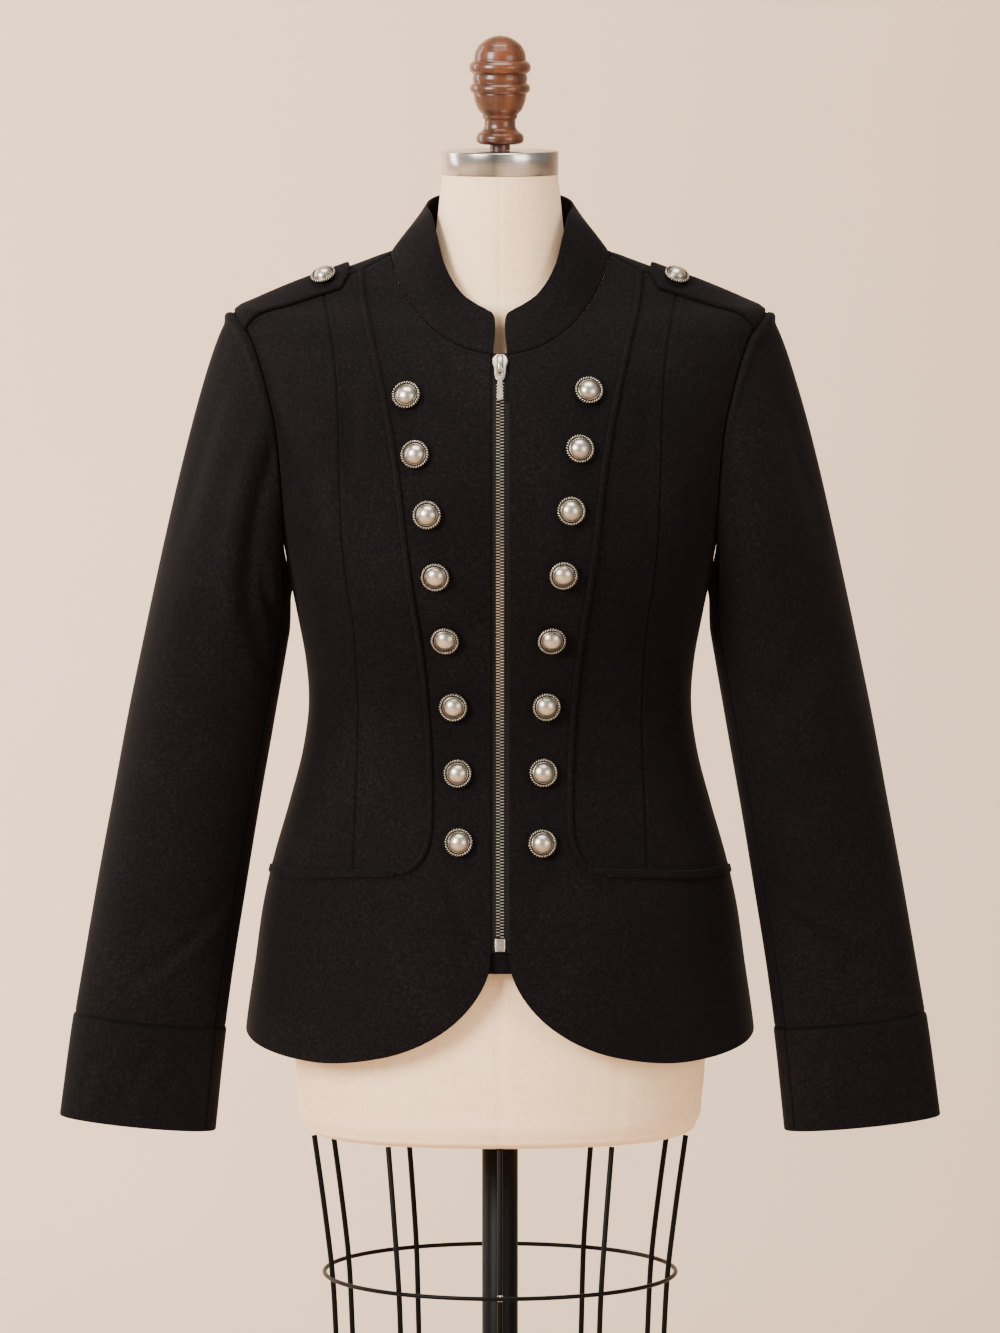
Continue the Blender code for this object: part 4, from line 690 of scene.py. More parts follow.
# Seams of the left half. The front's and back's rows are height, distance from the centre
seams = {
    "armpit": 1.0305,
    "sideWelt": 0.8230,
    "sideHem": 0.7060,
    "frontEdge": 0.0071,
    "shoulder": (   # across, how far before the ridge
        (0.0800, 0.0060), (0.0900, 0.0090), (0.1050, 0.0115),
        (0.1300, 0.0120), (0.1650, 0.0100), (0.1933, 0.0040),
    ),
    "piping": (
        (1.2400, 0.0990), (1.2130, 0.0925), (1.1580, 0.0803), (1.0590, 0.0668), (1.0060, 0.0592),
        (0.9500, 0.0530), (0.9040, 0.0505), (0.8800, 0.0502), (0.8600, 0.0510), (0.8500, 0.0530),
        (0.8430, 0.0562), (0.8370, 0.0613), (0.8328, 0.0675), (0.8312, 0.0745),
    ),
    "princess": (
        (1.2400, 0.1270), (1.2050, 0.1200), (1.1600, 0.1165), (1.1200, 0.1155), (1.0600, 0.1125),
        (1.0140, 0.1065), (0.9570, 0.1030), (0.8940, 0.1040), (0.8560, 0.1055), (0.8290, 0.1062),
    ),
    "backPrincess": (
        (1.2000, 0.1120), (1.1200, 0.0960), (1.0300, 0.0810), (0.9460, 0.0720),
        (0.8700, 0.0800), (0.7700, 0.0980), (0.7010, 0.1080),
    ),
    "frontArmhole": (
        (1.2225, 0.1868), (1.2165, 0.1832), (1.1840, 0.1710),
        (1.1450, 0.1620), (1.1050, 0.1585), (1.0520, 0.1555),
    ),
    "backArmhole": (
        (1.2220, 0.1902), (1.2140, 0.1878), (1.1840, 0.1775),
        (1.1450, 0.1700), (1.1050, 0.1655), (1.0520, 0.1570),
    ),
    "neckline": (
        (1.2047, 0.0071), (1.2085, 0.0240), (1.2215, 0.0480), (1.2370, 0.0635), (1.2540, 0.0742),
    ),
    "backNeckline": ((1.2725, 0.0700), (1.2670, 0.0500), (1.2630, 0.0250), (1.2620, 0.0)),
    "cutaway": (
        (0.7750, 0.0071), (0.7620, 0.0082), (0.7535, 0.0112), (0.7420, 0.0176), (0.7275, 0.0299),
        (0.7130, 0.0493), (0.7025, 0.0720), (0.6960, 0.0980), (0.6928, 0.1250), (0.6940, 0.1500),
        (0.6985, 0.1740),
    ),
    "backHem": ((0.7035, 0.1740), (0.7015, 0.1420), (0.7010, 0.1080), (0.7010, 0.0540), (0.7010, 0.0)),
    # Shares of the piping and of the back seam where rows of cloth meet them
    "backShares": (
        0, 0.02, 0.045, 0.08, 0.13, 0.18, 0.23, 0.28, 0.33, 0.38, 0.43, 0.48, 0.53, 0.58, 0.64, 0.70,
        0.76, 0.82, 0.88, 0.94, 1,
    ),
    "pipingShares": (
        0, 0.09, 0.18, 0.27, 0.36, 0.45, 0.54, 0.62, 0.70, 0.77, 0.83, 0.875, 0.905, 0.93, 0.952,
        0.968, 0.984, 1,
    ),
}


def shoulderPoint(across):
    deep = -float(smoothThrough(*columns(seams["shoulder"]), across))
    return np.array([across, deep, float(topHeight(across, deep))])


def seamPoints(name, back=False):
    height, across = columns(seams[name])
    return facePoint(across, height, back)


def along(points, steps, shares=None):
    # Smooth curve through a few points, laid on the cloth, with 16 samples to a step.
    points = np.asarray(points, float)
    run = runLength(points)
    marks = np.linspace(0, 1, steps + 1) if shares is None else np.asarray(shares, float)
    at = np.linspace(0, len(marks) - 1, (len(marks) - 1) * 16 + 1)
    at = run[-1] * np.interp(at, np.arange(len(marks)), marks)
    return ontoBody(np.stack([smoothThrough(run, points[:, i], at) for i in range(3)], axis=-1))


def seamLines():
    neck, tip = shoulderPoint(0.0800), shoulderPoint(0.1933)
    pipingTop, princessTop = shoulderPoint(0.1010), shoulderPoint(0.1300)
    armpit, sideWelt, sideHem = (sidePoint(seams[name]) for name in ("armpit", "sideWelt", "sideHem"))
    piping = np.concatenate([[pipingTop], seamPoints("piping")])
    princess = np.concatenate([[princessTop], seamPoints("princess")])
    edgeHeights = np.array([1.2047, 1.16, 1.11, 1.06, 1.03, 0.99, 0.946, 0.90, 0.86, 0.82, 0.775])
    upperSide = np.concatenate([[armpit], sidePoint(np.array([0.99, 0.9460, 0.90, 0.86])), [sideWelt]])
    lowerSide = np.concatenate([[sideWelt], sidePoint(np.array([0.78, 0.745])), [sideHem]])
    backHem = seamPoints("backHem", back=True)
    welt = np.array([piping[-1], facePoint(0.088, 0.8302), princess[-1]])
    outerWelt = np.array([princess[-1], facePoint(0.135, 0.8262), sideWelt])
    return {
        "neckline": along(np.concatenate([seamPoints("neckline"), [neck]]), 6),
        "backNeckline": along(np.concatenate([[neck], seamPoints("backNeckline", back=True)]), 4),
        "neckToPiping": along([neck, pipingTop], 1),
        "pipingToPrincess": along([pipingTop, princessTop], 3),
        "princessToTip": along([princessTop, shoulderPoint(0.165), shoulderPoint(0.182), tip], 5),
        "piping": along(piping, 0, seams["pipingShares"]),
        "princess": along(princess, 17),
        "backPrincess": along(np.concatenate([[princessTop], seamPoints("backPrincess", back=True)]), 0, seams["backShares"]),
        "frontHole": along(np.concatenate([[tip], seamPoints("frontArmhole"), [armpit]]), 12),
        "backHole": along(np.concatenate([[tip], seamPoints("backArmhole", back=True), [armpit]]), 12),
        "sideUpper": along(upperSide, 5),
        "sideLower": along(lowerSide, 7),
        "sideAll": along(joined(upperSide, lowerSide), 8),
        "weltInner": along(welt, 3),
        "weltOuter": along(outerWelt, 5),
        "frontEdge": along(facePoint(seams["frontEdge"], edgeHeights), 15),
        "hem": along(np.concatenate([seamPoints("cutaway"), [sideHem]]), 10),
        "backHemSide": along(np.concatenate([[sideHem], backHem[:3]]), 5),
        "backHemCentre": along(backHem[2:], 8),
    }


lines = seamLines()
print("seam lines")


def panelGrid(inner, outer, top, foot):
    # Patch between four edge lines: the sides blended across plus the ends blended
    # down, less the corners blended both ways, then laid on the outer face.
    tall = (runLength(inner)[-1] + runLength(outer)[-1]) / 2
    down = graded(tall, round(tall / jacket["grid"])).T
    left, right = onLine(inner, down[:, 0]), onLine(outer, down[:, 0])
    wide = np.linalg.norm(right - left, axis=-1)
    over = graded(wide, round(wide.max() / jacket["grid"]))
    down = down + 0 * over
    over3, down3 = over[..., None], down[..., None]
    sides = onLine(inner, down) * (1 - over3) + onLine(outer, down) * over3
    ends = onLine(top, over) * (1 - down3) + onLine(foot, over) * down3
    corners = (
        inner[0] * (1 - down3) * (1 - over3) + outer[0] * (1 - down3) * over3
        + inner[-1] * down3 * (1 - over3) + outer[-1] * down3 * over3
    )
    return ontoBody(sides + ends - corners)


def drawnIn(points, pull):
    # The four edges moved in a little, so that neighbours don't touch.
    points = points.copy()
    edges = ((points[0], points[1]), (points[-1], points[-2]), (points[:, 0], points[:, 1]), (points[:, -1], points[:, -2]))
    moves = [pull * unit(inside - edge) for edge, inside in edges]
    for (edge, _), move in zip(edges, moves):
        edge += move
    return points


def creaseRelief(over, up, creases):
    # Each crease is a trough along a smooth path, with a lower ridge on one side:
    # depth * fade * (ridge - trough), where the fade falls to 0 at both ends.
    relief = np.zeros_like(over)
    for path, width, depth, ridge in creases:
        path = np.array(path, float)
        marks = np.linspace(0, len(path) - 1, 6 * (len(path) - 1) + 1)
        path = np.stack([smoothThrough(np.arange(len(path)), path[:, i], marks) for i in range(2)], axis=-1)
        start, span = path[:-1], np.diff(path, axis=0)
        offset = np.stack([over, up], axis=-1)[..., None, :] - start
        share = np.clip((offset * span).sum(-1) / (span**2).sum(-1), 0, 1)
        gap = offset - share[..., None] * span
        nearest = np.linalg.norm(gap, axis=-1)
        pick = nearest.argmin(axis=-1)
        away = np.take_along_axis(nearest, pick[..., None], axis=-1)[..., 0]
        part = (np.take_along_axis(share, pick[..., None], axis=-1)[..., 0] + pick) / len(span)
        cross = span[..., 0] * offset[..., 1] - span[..., 1] * offset[..., 0]
        side = np.sign(np.take_along_axis(cross, pick[..., None], axis=-1)[..., 0])
        fade = np.sin(np.pi * np.clip(part, 0, 1)) ** 0.8
        trough = np.exp(-((away / width) ** 2))
        swell = abs(ridge) * np.exp(-(((side * np.sign(ridge) * away - 1.9 * width) / (1.2 * width)) ** 2))
        relief += 1.6 * depth * fade * (swell - trough)
    return relief


# Creases of the body, seen from the front or the back: path of (across, height) with the
# wearer's left positive, half width, depth, and the ridge beside it
bodyCreases = {
    "front": (
        (((-0.0985, 0.8760), (-0.1085, 0.8602), (-0.1190, 0.8395)), 0.0045, 0.0011, 0.6),
        (((-0.0420, 0.8400), (-0.0307, 0.8072), (-0.0155, 0.7720)), 0.0050, 0.0009, -0.5),
        (((0.1130, 0.8700), (0.1367, 0.8559), (0.1560, 0.8450)), 0.0050, 0.0008, -0.5),
        (((0.1180, 0.8560), (0.1350, 0.8450), (0.1500, 0.8390)), 0.0040, 0.0005, -0.5),
        (((-0.1060, 1.1980), (-0.1085, 1.1600), (-0.1055, 1.1150)), 0.0070, 0.0010, 0.5),
        (((0.1040, 1.1950), (0.1060, 1.1600), (0.1030, 1.1250)), 0.0070, 0.0008, -0.5),
        (((-0.1420, 1.1250), (-0.1350, 1.0900), (-0.1330, 1.0500)), 0.0080, 0.0010, 0.4),
        (((0.1440, 1.1200), (0.1370, 1.0850), (0.1340, 1.0450)), 0.0080, 0.0009, -0.4),
        (((-0.0900, 0.9600), (-0.1100, 0.9480), (-0.1330, 0.9430)), 0.0060, 0.0006, 0.5),
        (((0.0920, 0.9560), (0.1120, 0.9430), (0.1340, 0.9380)), 0.0060, 0.0005, -0.5),
        (((0.0320, 0.8250), (0.0260, 0.8000), (0.0150, 0.7770)), 0.0040, 0.0004, 0.5),
        (((-0.0800, 0.8050), (-0.0900, 0.7700), (-0.0860, 0.7300)), 0.0140, 0.0009, 0.5),
        (((0.0950, 0.8000), (0.1050, 0.7650), (0.1000, 0.7250)), 0.0140, 0.0008, -0.5),
    ),
    "back": (
        (((-0.0950, 1.1500), (-0.1150, 1.1000), (-0.1400, 1.0600)), 0.0080, 0.0012, 0.5),
        (((0.0900, 1.1550), (0.1130, 1.1080), (0.1380, 1.0660)), 0.0080, 0.0013, -0.5),
        (((-0.0300, 0.9700), (-0.0700, 0.9530), (-0.1150, 0.9560)), 0.0070, 0.0010, 0.5),
        (((0.0200, 0.9560), (0.0680, 0.9420), (0.1120, 0.9480)), 0.0070, 0.0009, -0.5),
        (((-0.0500, 0.9330), (-0.0150, 0.9270), (0.0280, 0.9330)), 0.0060, 0.0006, 0.5),
        (((-0.0450, 0.8350), (-0.0520, 0.7850), (-0.0460, 0.7350)), 0.0120, 0.0010, 0.5),
        (((0.0520, 0.8300), (0.0590, 0.7800), (0.0540, 0.7300)), 0.0120, 0.0011, -0.5),
        (((-0.0250, 1.2300), (0.0050, 1.2180), (0.0350, 1.2250)), 0.0080, 0.0007, 0.5),
    ),
}


def setMark(piece, name, values):
    layer = piece.data.attributes.new(name, "FLOAT", "POINT")
    layer.data.foreach_set("value", np.asarray(values, np.float32).ravel())


def seamPaintedShade(away, edges):
    # Painted shade in and beside a seam, from 1 on the seam to 0 about a millimetre away.
    return sum(jacket["seamPaintedShade"] * np.exp(-((away[edge] / jacket["seamHalf"]) ** 2)) for edge in edges).clip(0, 1)


def addCloth(name, node, outer, normals, thick, uv, ring=False, slot="cloth", shade=None):
    points, faceSets, source = clothWall(outer, normals, thick, ring)
    piece = addPiece(name, points, faceSets, finishes[slot], uv.reshape(-1, 2)[source])
    if shade is not None:
        setMark(piece, "seam", shade.ravel()[source])
    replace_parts(piece, node)
    return piece


def clothArea(outer):
    return (np.linalg.norm(np.cross(outer[1:, :-1] - outer[:-1, :-1], outer[:-1, 1:] - outer[:-1, :-1]), axis=-1)).sum()


def roundMap(points):
    # Flat cut of the body: turn round the upright axis times a mean radius, and height.
    turn = np.arctan2(points[..., 0], -1.25 * points[..., 1])
    return np.stack([0.145 * turn, points[..., 2]], axis=-1)


def addPanel(name, grid, sewn, back=False, whole=False):
    # One panel on each side, or one whole: seams pressed in and given painted shade, creases by place.
    away = edgeDistances(grid)
    normals = bodyNormal(grid)
    dip = sum(jacket["seamDip"] * np.exp(-((away[edge] / jacket["seamWidth"]) ** 2)) for edge in sewn)
    edge = np.minimum.reduce([away[edge] for edge in away])
    for side, sign in ((("left", 1.0),) if whole else (("left", 1.0), ("right", -1.0))):
        flip = np.array([sign, 1.0, 1.0])
        face, out = drawnIn(grid, jacket["seamPull"]) * flip, normals * flip
        relief = creaseRelief(face[..., 0], face[..., 2], bodyCreases["back" if back else "front"])
        lip = sum(0.00026 * np.exp(-(((away[name] - 0.0026) / 0.0012) ** 2)) for name in sewn)
        relief = relief * np.clip(edge / 0.006, 0.35, 1.0) - dip + lip
        face = face + relief[..., None] * out
        node = name[0] if whole else f"{name[0]}_{side}"
        title = name[1] if whole else name[1] + side.title()
        piece = addCloth(title, node, face, out, jacket["cloth"], roundMap(face), shade=seamPaintedShade(away, sewn))


def addBody():
    outer = joined(lines["piping"], lines["weltInner"], lines["weltOuter"])
    inner = joined(lines["frontEdge"], lines["hem"])
    top = joined(lines["neckline"], lines["neckToPiping"])
    grid = panelGrid(inner, outer, top, lines["sideLower"][::-1])
    addPanel(("front_centre", "frontCentre"), grid, ("outer", "top", "foot"))
    grid = panelGrid(lines["piping"], lines["princess"], lines["pipingToPrincess"], lines["weltInner"])
    addPanel(("front_middle", "frontMiddle"), grid, ("inner", "outer", "top", "foot"))
    outer = joined(lines["frontHole"], lines["sideUpper"])
    grid = panelGrid(lines["princess"], outer, lines["princessToTip"], lines["weltOuter"])
    addPanel(("front_side", "frontSide"), grid, ("inner", "outer", "top", "foot"))

    top = joined(lines["neckToPiping"], lines["pipingToPrincess"])[::-1]
    top = joined(top, lines["backNeckline"])
    foot = lines["backHemCentre"]
    shares = np.interp(np.linspace(0, 20, 321), np.arange(21), seams["backShares"])
    heights = top[-1, 2] + (foot[-1, 2] - top[-1, 2]) * shares
    middle = ontoBody(facePoint(0.0, heights, back=True))
    half = panelGrid(lines["backPrincess"], middle, top, foot)
    half[:, -1, 0] = 0.0
    whole = np.concatenate([half[:, :-5], (half[:, -1:]), (half[:, :-5] * mirror)[:, ::-1]], axis=1)
    addPanel(("back_centre", "backCentre"), whole, ("inner", "outer", "top"), True, True)
    outer = joined(lines["backHole"], lines["sideAll"])
    grid = panelGrid(lines["backPrincess"], outer, lines["princessToTip"], lines["backHemSide"][::-1])
    addPanel(("back_side", "backSide"), grid, ("inner", "outer", "top"), True)


addBody()
print("body panels")


# ---- collar ----

collar = {
    # share from the centre front to the centre back, across, deep, height
    "top": (
        (0.00, 0.0038, -0.0602, 1.2290), (0.012, 0.0047, -0.0599, 1.2320), (0.04, 0.0085, -0.0592, 1.2347),
        (0.12, 0.0175, -0.0570, 1.2395),
        (0.22, 0.0285, -0.0520, 1.2475), (0.34, 0.0405, -0.0430, 1.2665), (0.44, 0.0463, -0.0330, 1.2868),
        (0.51, 0.0498, -0.0200, 1.3000), (0.63, 0.0540, 0.0080, 1.3070), (0.78, 0.0460, 0.0400, 1.3125),
        (0.90, 0.0260, 0.0575, 1.3150), (1.00, 0.0000, 0.0630, 1.3155),
    ),
    "belly": 0.0015,
    "gap": 0.0001,
    "frontReach": 0.0017,   # how far its lower front corner passes the jacket's edge
    "cut": (0.470, 0.060, 0.0200),
    "creases": (
        (((0.0330, 1.2250), (0.0440, 1.2420), (0.0500, 1.2600)), 0.0030, 0.0004, 0.6),
        (((0.0400, 1.2230), (0.0530, 1.2400), (0.0600, 1.2560)), 0.0035, 0.0004, 0.6),
        (((-0.0420, 1.2250), (-0.0520, 1.2400), (-0.0560, 1.2560)), 0.0040, 0.0003, -0.6),
    ),
}


def addCollar():
    # Straight rules from the neckline to the top edge, with a belly of half a sine.
    base = joined(lines["neckline"], lines["backNeckline"])
    run = runLength(base)
    share = graded(run[-1], 88)[0]
    share = np.append(share[:-5], 1.0)
    place = np.stack([np.interp(share * run[-1], run, base[:, i]) for i in range(3)], axis=-1)
    place[:, 0] -= collar["frontReach"] * np.exp(-((share / 0.02) ** 2))
    normal = bodyNormal(place)
    marks, *sizes = columns(collar["top"])
    rim = np.stack([smoothThrough(marks, size, share) for size in sizes], axis=-1)
    rim[-1, 0] = 0.0
    place, normal, rim = (np.concatenate([a, (a * mirror)[-2::-1]]) for a in (place, normal, rim))
    into = unit(np.cross(unit(np.gradient(place, axis=0)), normal))
    into *= np.sign((into * (rim - place)).sum(-1, keepdims=True))
    first = place + collar["gap"] * (into + 0.6 * normal)
    level = graded(0.05, 16)[0][:, None, None]
    outer = first * (1 - level) + rim * level
    facing = -gridNormals(outer)
    facing *= np.sign((facing[1] * normal).sum(-1).mean())
    outer = outer + collar["belly"] * np.sin(np.pi * level) * facing
    away = edgeDistances(outer)
    relief = creaseRelief(outer[..., 0], outer[..., 2], collar["creases"]) * (outer[..., 1] < 0)
    relief -= 0.00045 * np.exp(-((away["top"] / 0.0011) ** 2))
    stitch = np.minimum(away["inner"], away["outer"])
    relief -= 0.00030 * np.exp(-(((stitch - 0.0034) / 0.0006) ** 2))
    outer = outer + relief[..., None] * facing
    thick = 0.0004 + (jacket["cloth"] - 0.0004) * np.clip(away["top"] / 0.003, 0, 1)
    uv = np.stack([away["inner"], away["top"]], axis=-1)
    # Painted shade along the seam at the neckline
    piece = addCloth("collarBand", "collar", outer, facing, thick, uv, shade=seamPaintedShade(away, ("top",)))
    print("collar area", round(clothArea(outer), 4))


addCollar()


# ---- sleeves and cuffs ----

sleeve = {
    # height, centre across, centre deep, half width, half depth
    "sections": (
        (1.0000, 0.2056, 0.0000, 0.0522, 0.0550), (0.9317, 0.2186, -0.0030, 0.0533, 0.0515),
        (0.8730, 0.2292, -0.0070, 0.0535, 0.0480), (0.8141, 0.2395, -0.0120, 0.0541, 0.0440),
        (0.7551, 0.2493, -0.0180, 0.0545, 0.0395), (0.7085, 0.2563, -0.0230, 0.0553, 0.0350),
        (0.6405, 0.2645, -0.0305, 0.0563, 0.0295),
    ),
    "tilt": math.radians(5.6),
    "foot": 0.7145,
    "frontSeam": 150.0,     # degrees from the outside of the arm, over the front
    "backSeam": 240.0,
    "cuts": {"topSleeve": (0.270, 0.590, 0.1130), "underSleeve": (0.090, 0.400, 0.0280), "cuff": (0.300, 0.075, 0.0220)},
    # path of (turn in degrees, height), half width, depth and ridge
    "creases": {
        "right": (
            (((84, 1.2080), (88, 1.1300), (98, 1.0700), (112, 1.0200), (128, 0.9850)), 0.0075, 0.0034, -0.75),
            (((122, 1.1150), (140, 1.0700), (158, 1.0200)), 0.0060, 0.0026, -0.5),
            (((112, 1.0550), (128, 1.0250), (146, 1.0050)), 0.0045, 0.0016, 0.6),
            (((118, 1.0150), (134, 0.9800), (160, 0.9550)), 0.0050, 0.0014, -0.6),
            (((140, 0.7990), (106, 0.7700), (68, 0.7420)), 0.0050, 0.0013, 0.7),
            (((150, 0.8150), (125, 0.7950), (95, 0.7840)), 0.0050, 0.0007, 0.6),
            (((60, 1.0200), (85, 0.9800), (112, 0.9500)), 0.0090, 0.0011, 0.5),
            (((70, 0.9200), (95, 0.8850), (128, 0.8700)), 0.0100, 0.0010, 0.5),
            (((20, 1.1900), (26, 1.1200), (34, 1.0500)), 0.0100, 0.0010, 0.4),
            (((255, 1.0700), (275, 1.0200), (300, 0.9800)), 0.0080, 0.0022, 0.6),
            (((240, 0.9300), (270, 0.9050), (305, 0.8950)), 0.0080, 0.0018, 0.6),
            (((245, 0.8750), (275, 0.8620), (310, 0.8650)), 0.0070, 0.0014, -0.6),
            (((250, 0.8000), (285, 0.7750), (320, 0.7650)), 0.0070, 0.0010, 0.6),
            (((190, 0.9800), (215, 0.9550), (238, 0.9400)), 0.0060, 0.0010, 0.5),
        ),
        "left": (
            (((92, 1.1750), (99, 1.1200), (106, 1.0600), (116, 1.0200)), 0.0085, 0.0018, 0.7),
            (((128, 1.1150), (142, 1.0650), (156, 1.0180)), 0.0060, 0.0018, 0.5),
            (((136, 0.8020), (104, 0.7790), (72, 0.7570)), 0.0050, 0.0011, -0.7),
            (((148, 0.8250), (122, 0.8080), (98, 0.8000)), 0.0055, 0.0006, -0.6),
            (((64, 1.0000), (88, 0.9650), (116, 0.9400)), 0.0100, 0.0010, -0.5),
            (((72, 0.9050), (98, 0.8750), (126, 0.8620)), 0.0100, 0.0008, -0.5),
            (((22, 1.1800), (28, 1.1150), (36, 1.0500)), 0.0100, 0.0009, -0.4),
            (((252, 1.0800), (272, 1.0280), (296, 0.9850)), 0.0080, 0.0020, -0.6),
            (((242, 0.9400), (272, 0.9130), (304, 0.9000)), 0.0080, 0.0017, -0.6),
            (((246, 0.8850), (276, 0.8700), (312, 0.8720)), 0.0070, 0.0012, 0.6),
            (((252, 0.7900), (284, 0.7680), (322, 0.7600)), 0.0070, 0.0010, -0.6),
            (((192, 0.9700), (216, 0.9480), (238, 0.9350)), 0.0060, 0.0009, -0.5),
        ),
    },
    "cuffCreases": {
        "right": (
            (((104, 0.7120), (92, 0.6850), (80, 0.6480)), 0.0045, 0.0007, 0.6),
            (((60, 0.7000), (48, 0.6800), (40, 0.6550)), 0.0060, 0.0004, 0.6),
        ),
        "left": (
            (((110, 0.7080), (120, 0.6850), (124, 0.6550)), 0.0050, 0.0005, -0.6),
        ),
    },
}


def sleeveRing(height, turn, proud=0.0):
    # Ellipse that leans down towards the body: width by cosine, depth by sine.
    heights, *sizes = columns(sleeve["sections"])
    across, deep, width, depth = (smoothThrough(heights, size, height) for size in sizes)
    over = (width + proud) * np.cos(turn)
    front = (depth + proud) * np.sin(turn)
    tilt = sleeve["tilt"]
    return np.stack([across + over * math.cos(tilt), deep - front, height + over * math.sin(tilt)], axis=-1)


def armholePoint(turn):
    # Round the armhole: the front line down for the first half turn, the back line up.
    turn = np.mod(turn, 360.0)
    front, back = onLine(lines["frontHole"], turn / 180), onLine(lines["backHole"], 2 - turn / 180)
    return np.where((turn <= 180)[..., None], front, back)


def sleeveGrid(degrees):
    # Cap: cubic from the armhole to the ring at 1 m, which leaves the seam outwards at
    # the top and downwards under the arm. Below it, level rings down to the cuff.
    turn = np.radians(degrees)
    place = armholePoint(degrees)
    normal = bodyNormal(place)
    ringTop, ringNext = sleeveRing(1.0, turn), sleeveRing(0.9429, turn)
    reach = np.linalg.norm(ringTop - place, axis=-1)[:, None]
    top = ((1 + np.cos(turn)) / 2)[:, None]
    start = np.concatenate([0.06 + 0.84 * top, -0.42 * np.sin(turn)[:, None], -(0.35 + 0.65 * (1 - top))], axis=1)
    start = unit(start) * reach * (0.25 + 0.60 * (1 - top))
    finish = unit(ringNext - ringTop) * reach * (0.30 * top + 0.70 * (1 - top))
    place = place + 0.00012 * unit(start)
    t = np.concatenate([[0, 0.003, 0.008, 0.015, 0.024], np.linspace(0.036, 1, 66)])[:, None, None]
    cap = (
        (2 * t**3 - 3 * t**2 + 1) * place
        + (t**3 - 2 * t**2 + t) * start
        + (3 * t**2 - 2 * t**3) * ringTop
        + (t**3 - t**2) * finish
    )
    length = 1.0 - sleeve["foot"]
    below = 1.0 - length * np.concatenate([np.linspace(0, 1, 96)[1:-2], 1 - np.array([0.0033, 0.0020, 0.0011, 0.0005, 0.0]) / length])
    arm = np.stack([sleeveRing(height, turn) for height in below])
    return np.concatenate([cap, arm]), normal


def addSleeves():
    count = {"topSleeve": 82, "underSleeve": 26}
    spans = {"underSleeve": (sleeve["frontSeam"], sleeve["backSeam"]), "topSleeve": (sleeve["backSeam"], sleeve["frontSeam"] + 360)}
    for part, (first, last) in spans.items():
        shares = graded(0.053 * math.radians(last - first), count[part])[0]
        degrees = first + (last - first) * shares
        grid, _ = sleeveGrid(degrees)
        out = gridNormals(grid)
        centre = sleeveRing(0.9, np.radians(np.arange(0, 360, 10.0))).mean(axis=0)
        row = len(grid) - 40
        out *= np.sign((out[row] * (grid[row] - grid[row].mean(axis=0) * [1, 1, 1])).sum() if part == "topSleeve" else (out[row] * (grid[row] - centre)).sum())
        away = edgeDistances(grid)
        dip = sum(jacket["seamDip"] * np.exp(-((away[edge] / jacket["seamWidth"]) ** 2)) for edge in ("inner", "outer", "foot"))
        high = np.clip(np.cos(np.radians(degrees)), 0, 1)[None, :] ** 1.5
        roll = (0.0009 + 0.0022 * high) * np.exp(-(((away["top"] - 0.0042) / 0.0034) ** 2))
        roll = roll - 0.0004 * np.exp(-((away["top"] / 0.0010) ** 2))
        bare = np.mod(degrees, 360.0)[None, :] + 0 * grid[..., 0]
        for side, sign in (("left", 1.0), ("right", -1.0)):
            relief = roll - dip
            for turn in (bare, bare - 360.0):
                creases = [
                    ([(0.053 * math.radians(a), h) for a, h in path], width, depth, ridge)
                    for path, width, depth, ridge in sleeve["creases"][side]
                ]
                calm = np.clip(away["top"] / 0.010, 0, 1) * (1 - 0.85 * np.exp(-(((bare - 175) / 24) ** 2)))
                relief = relief + creaseRelief(0.053 * np.radians(turn), grid[..., 2], creases) * calm
            flip = np.array([sign, 1.0, 1.0])
            face = drawnIn(grid, jacket["seamPull"]) + relief[..., None] * out
            thick = 0.0004 + (jacket["cloth"] - 0.0004) * np.clip(away["top"] / 0.004, 0, 1)
            uv = np.stack([0.053 * np.radians(degrees)[None, :] + 0 * relief, grid[..., 2]], axis=-1)
            node = ("sleeve_top_" if part == "topSleeve" else "sleeve_under_") + side
            # Painted shade along all four seams
            shade = seamPaintedShade(away, ("inner", "outer", "top", "foot"))
            piece = addCloth(part + side.title(), node, face * flip, out * flip, thick, uv, shade=shade)
        print(part, "area", round(clothArea(grid), 4))


def addCuffs():
    # Band of two layers, 1 mm proud of the sleeve, its two ends sewn at the front seam.
    first = sleeve["frontSeam"]
    degrees = first + 360 * graded(2 * np.pi * 0.048, 100)[0]
    high, low = sleeve["foot"] - 0.0003, 0.6405
    heights = high + (low - high) * graded(high - low, 24)[0]
    grid = np.stack([sleeveRing(height, np.radians(degrees), 0.0010) for height in heights])
    out = gridNormals(grid)
    out *= np.sign((out[10] * (grid[10] - grid[10].mean(axis=0))).sum())
    away = edgeDistances(grid)
    dip = sum(jacket["seamDip"] * np.exp(-((away[edge] / jacket["seamWidth"]) ** 2)) for edge in ("inner", "outer", "top"))
    bare = np.mod(degrees, 360.0)[None, :] + 0 * dip
    for side, sign in (("left", 1.0), ("right", -1.0)):
        creases = [
            ([(0.050 * math.radians(a), h) for a, h in path], width, depth, ridge)
            for path, width, depth, ridge in sleeve["cuffCreases"][side]
        ]
        relief = creaseRelief(0.050 * np.radians(bare), grid[..., 2], creases) - dip
        flip = np.array([sign, 1.0, 1.0])
        face = (drawnIn(grid, jacket["seamPull"]) + relief[..., None] * out) * flip
        uv = np.stack([0.05 * np.radians(degrees)[None, :] + 0 * relief, grid[..., 2]], axis=-1)
        # Painted shade along its two sewn ends and its top seam
        shade = seamPaintedShade(away, ("inner", "outer", "top"))
        piece = addCloth("cuff" + side.title(), f"cuff_{side}", face, out * flip, jacket["doubled"], uv, shade=shade)
    print("cuff area", round(clothArea(grid), 4))


addSleeves()
addCuffs()
print("sleeves and cuffs")


# ---- epaulettes, piping and welts ----

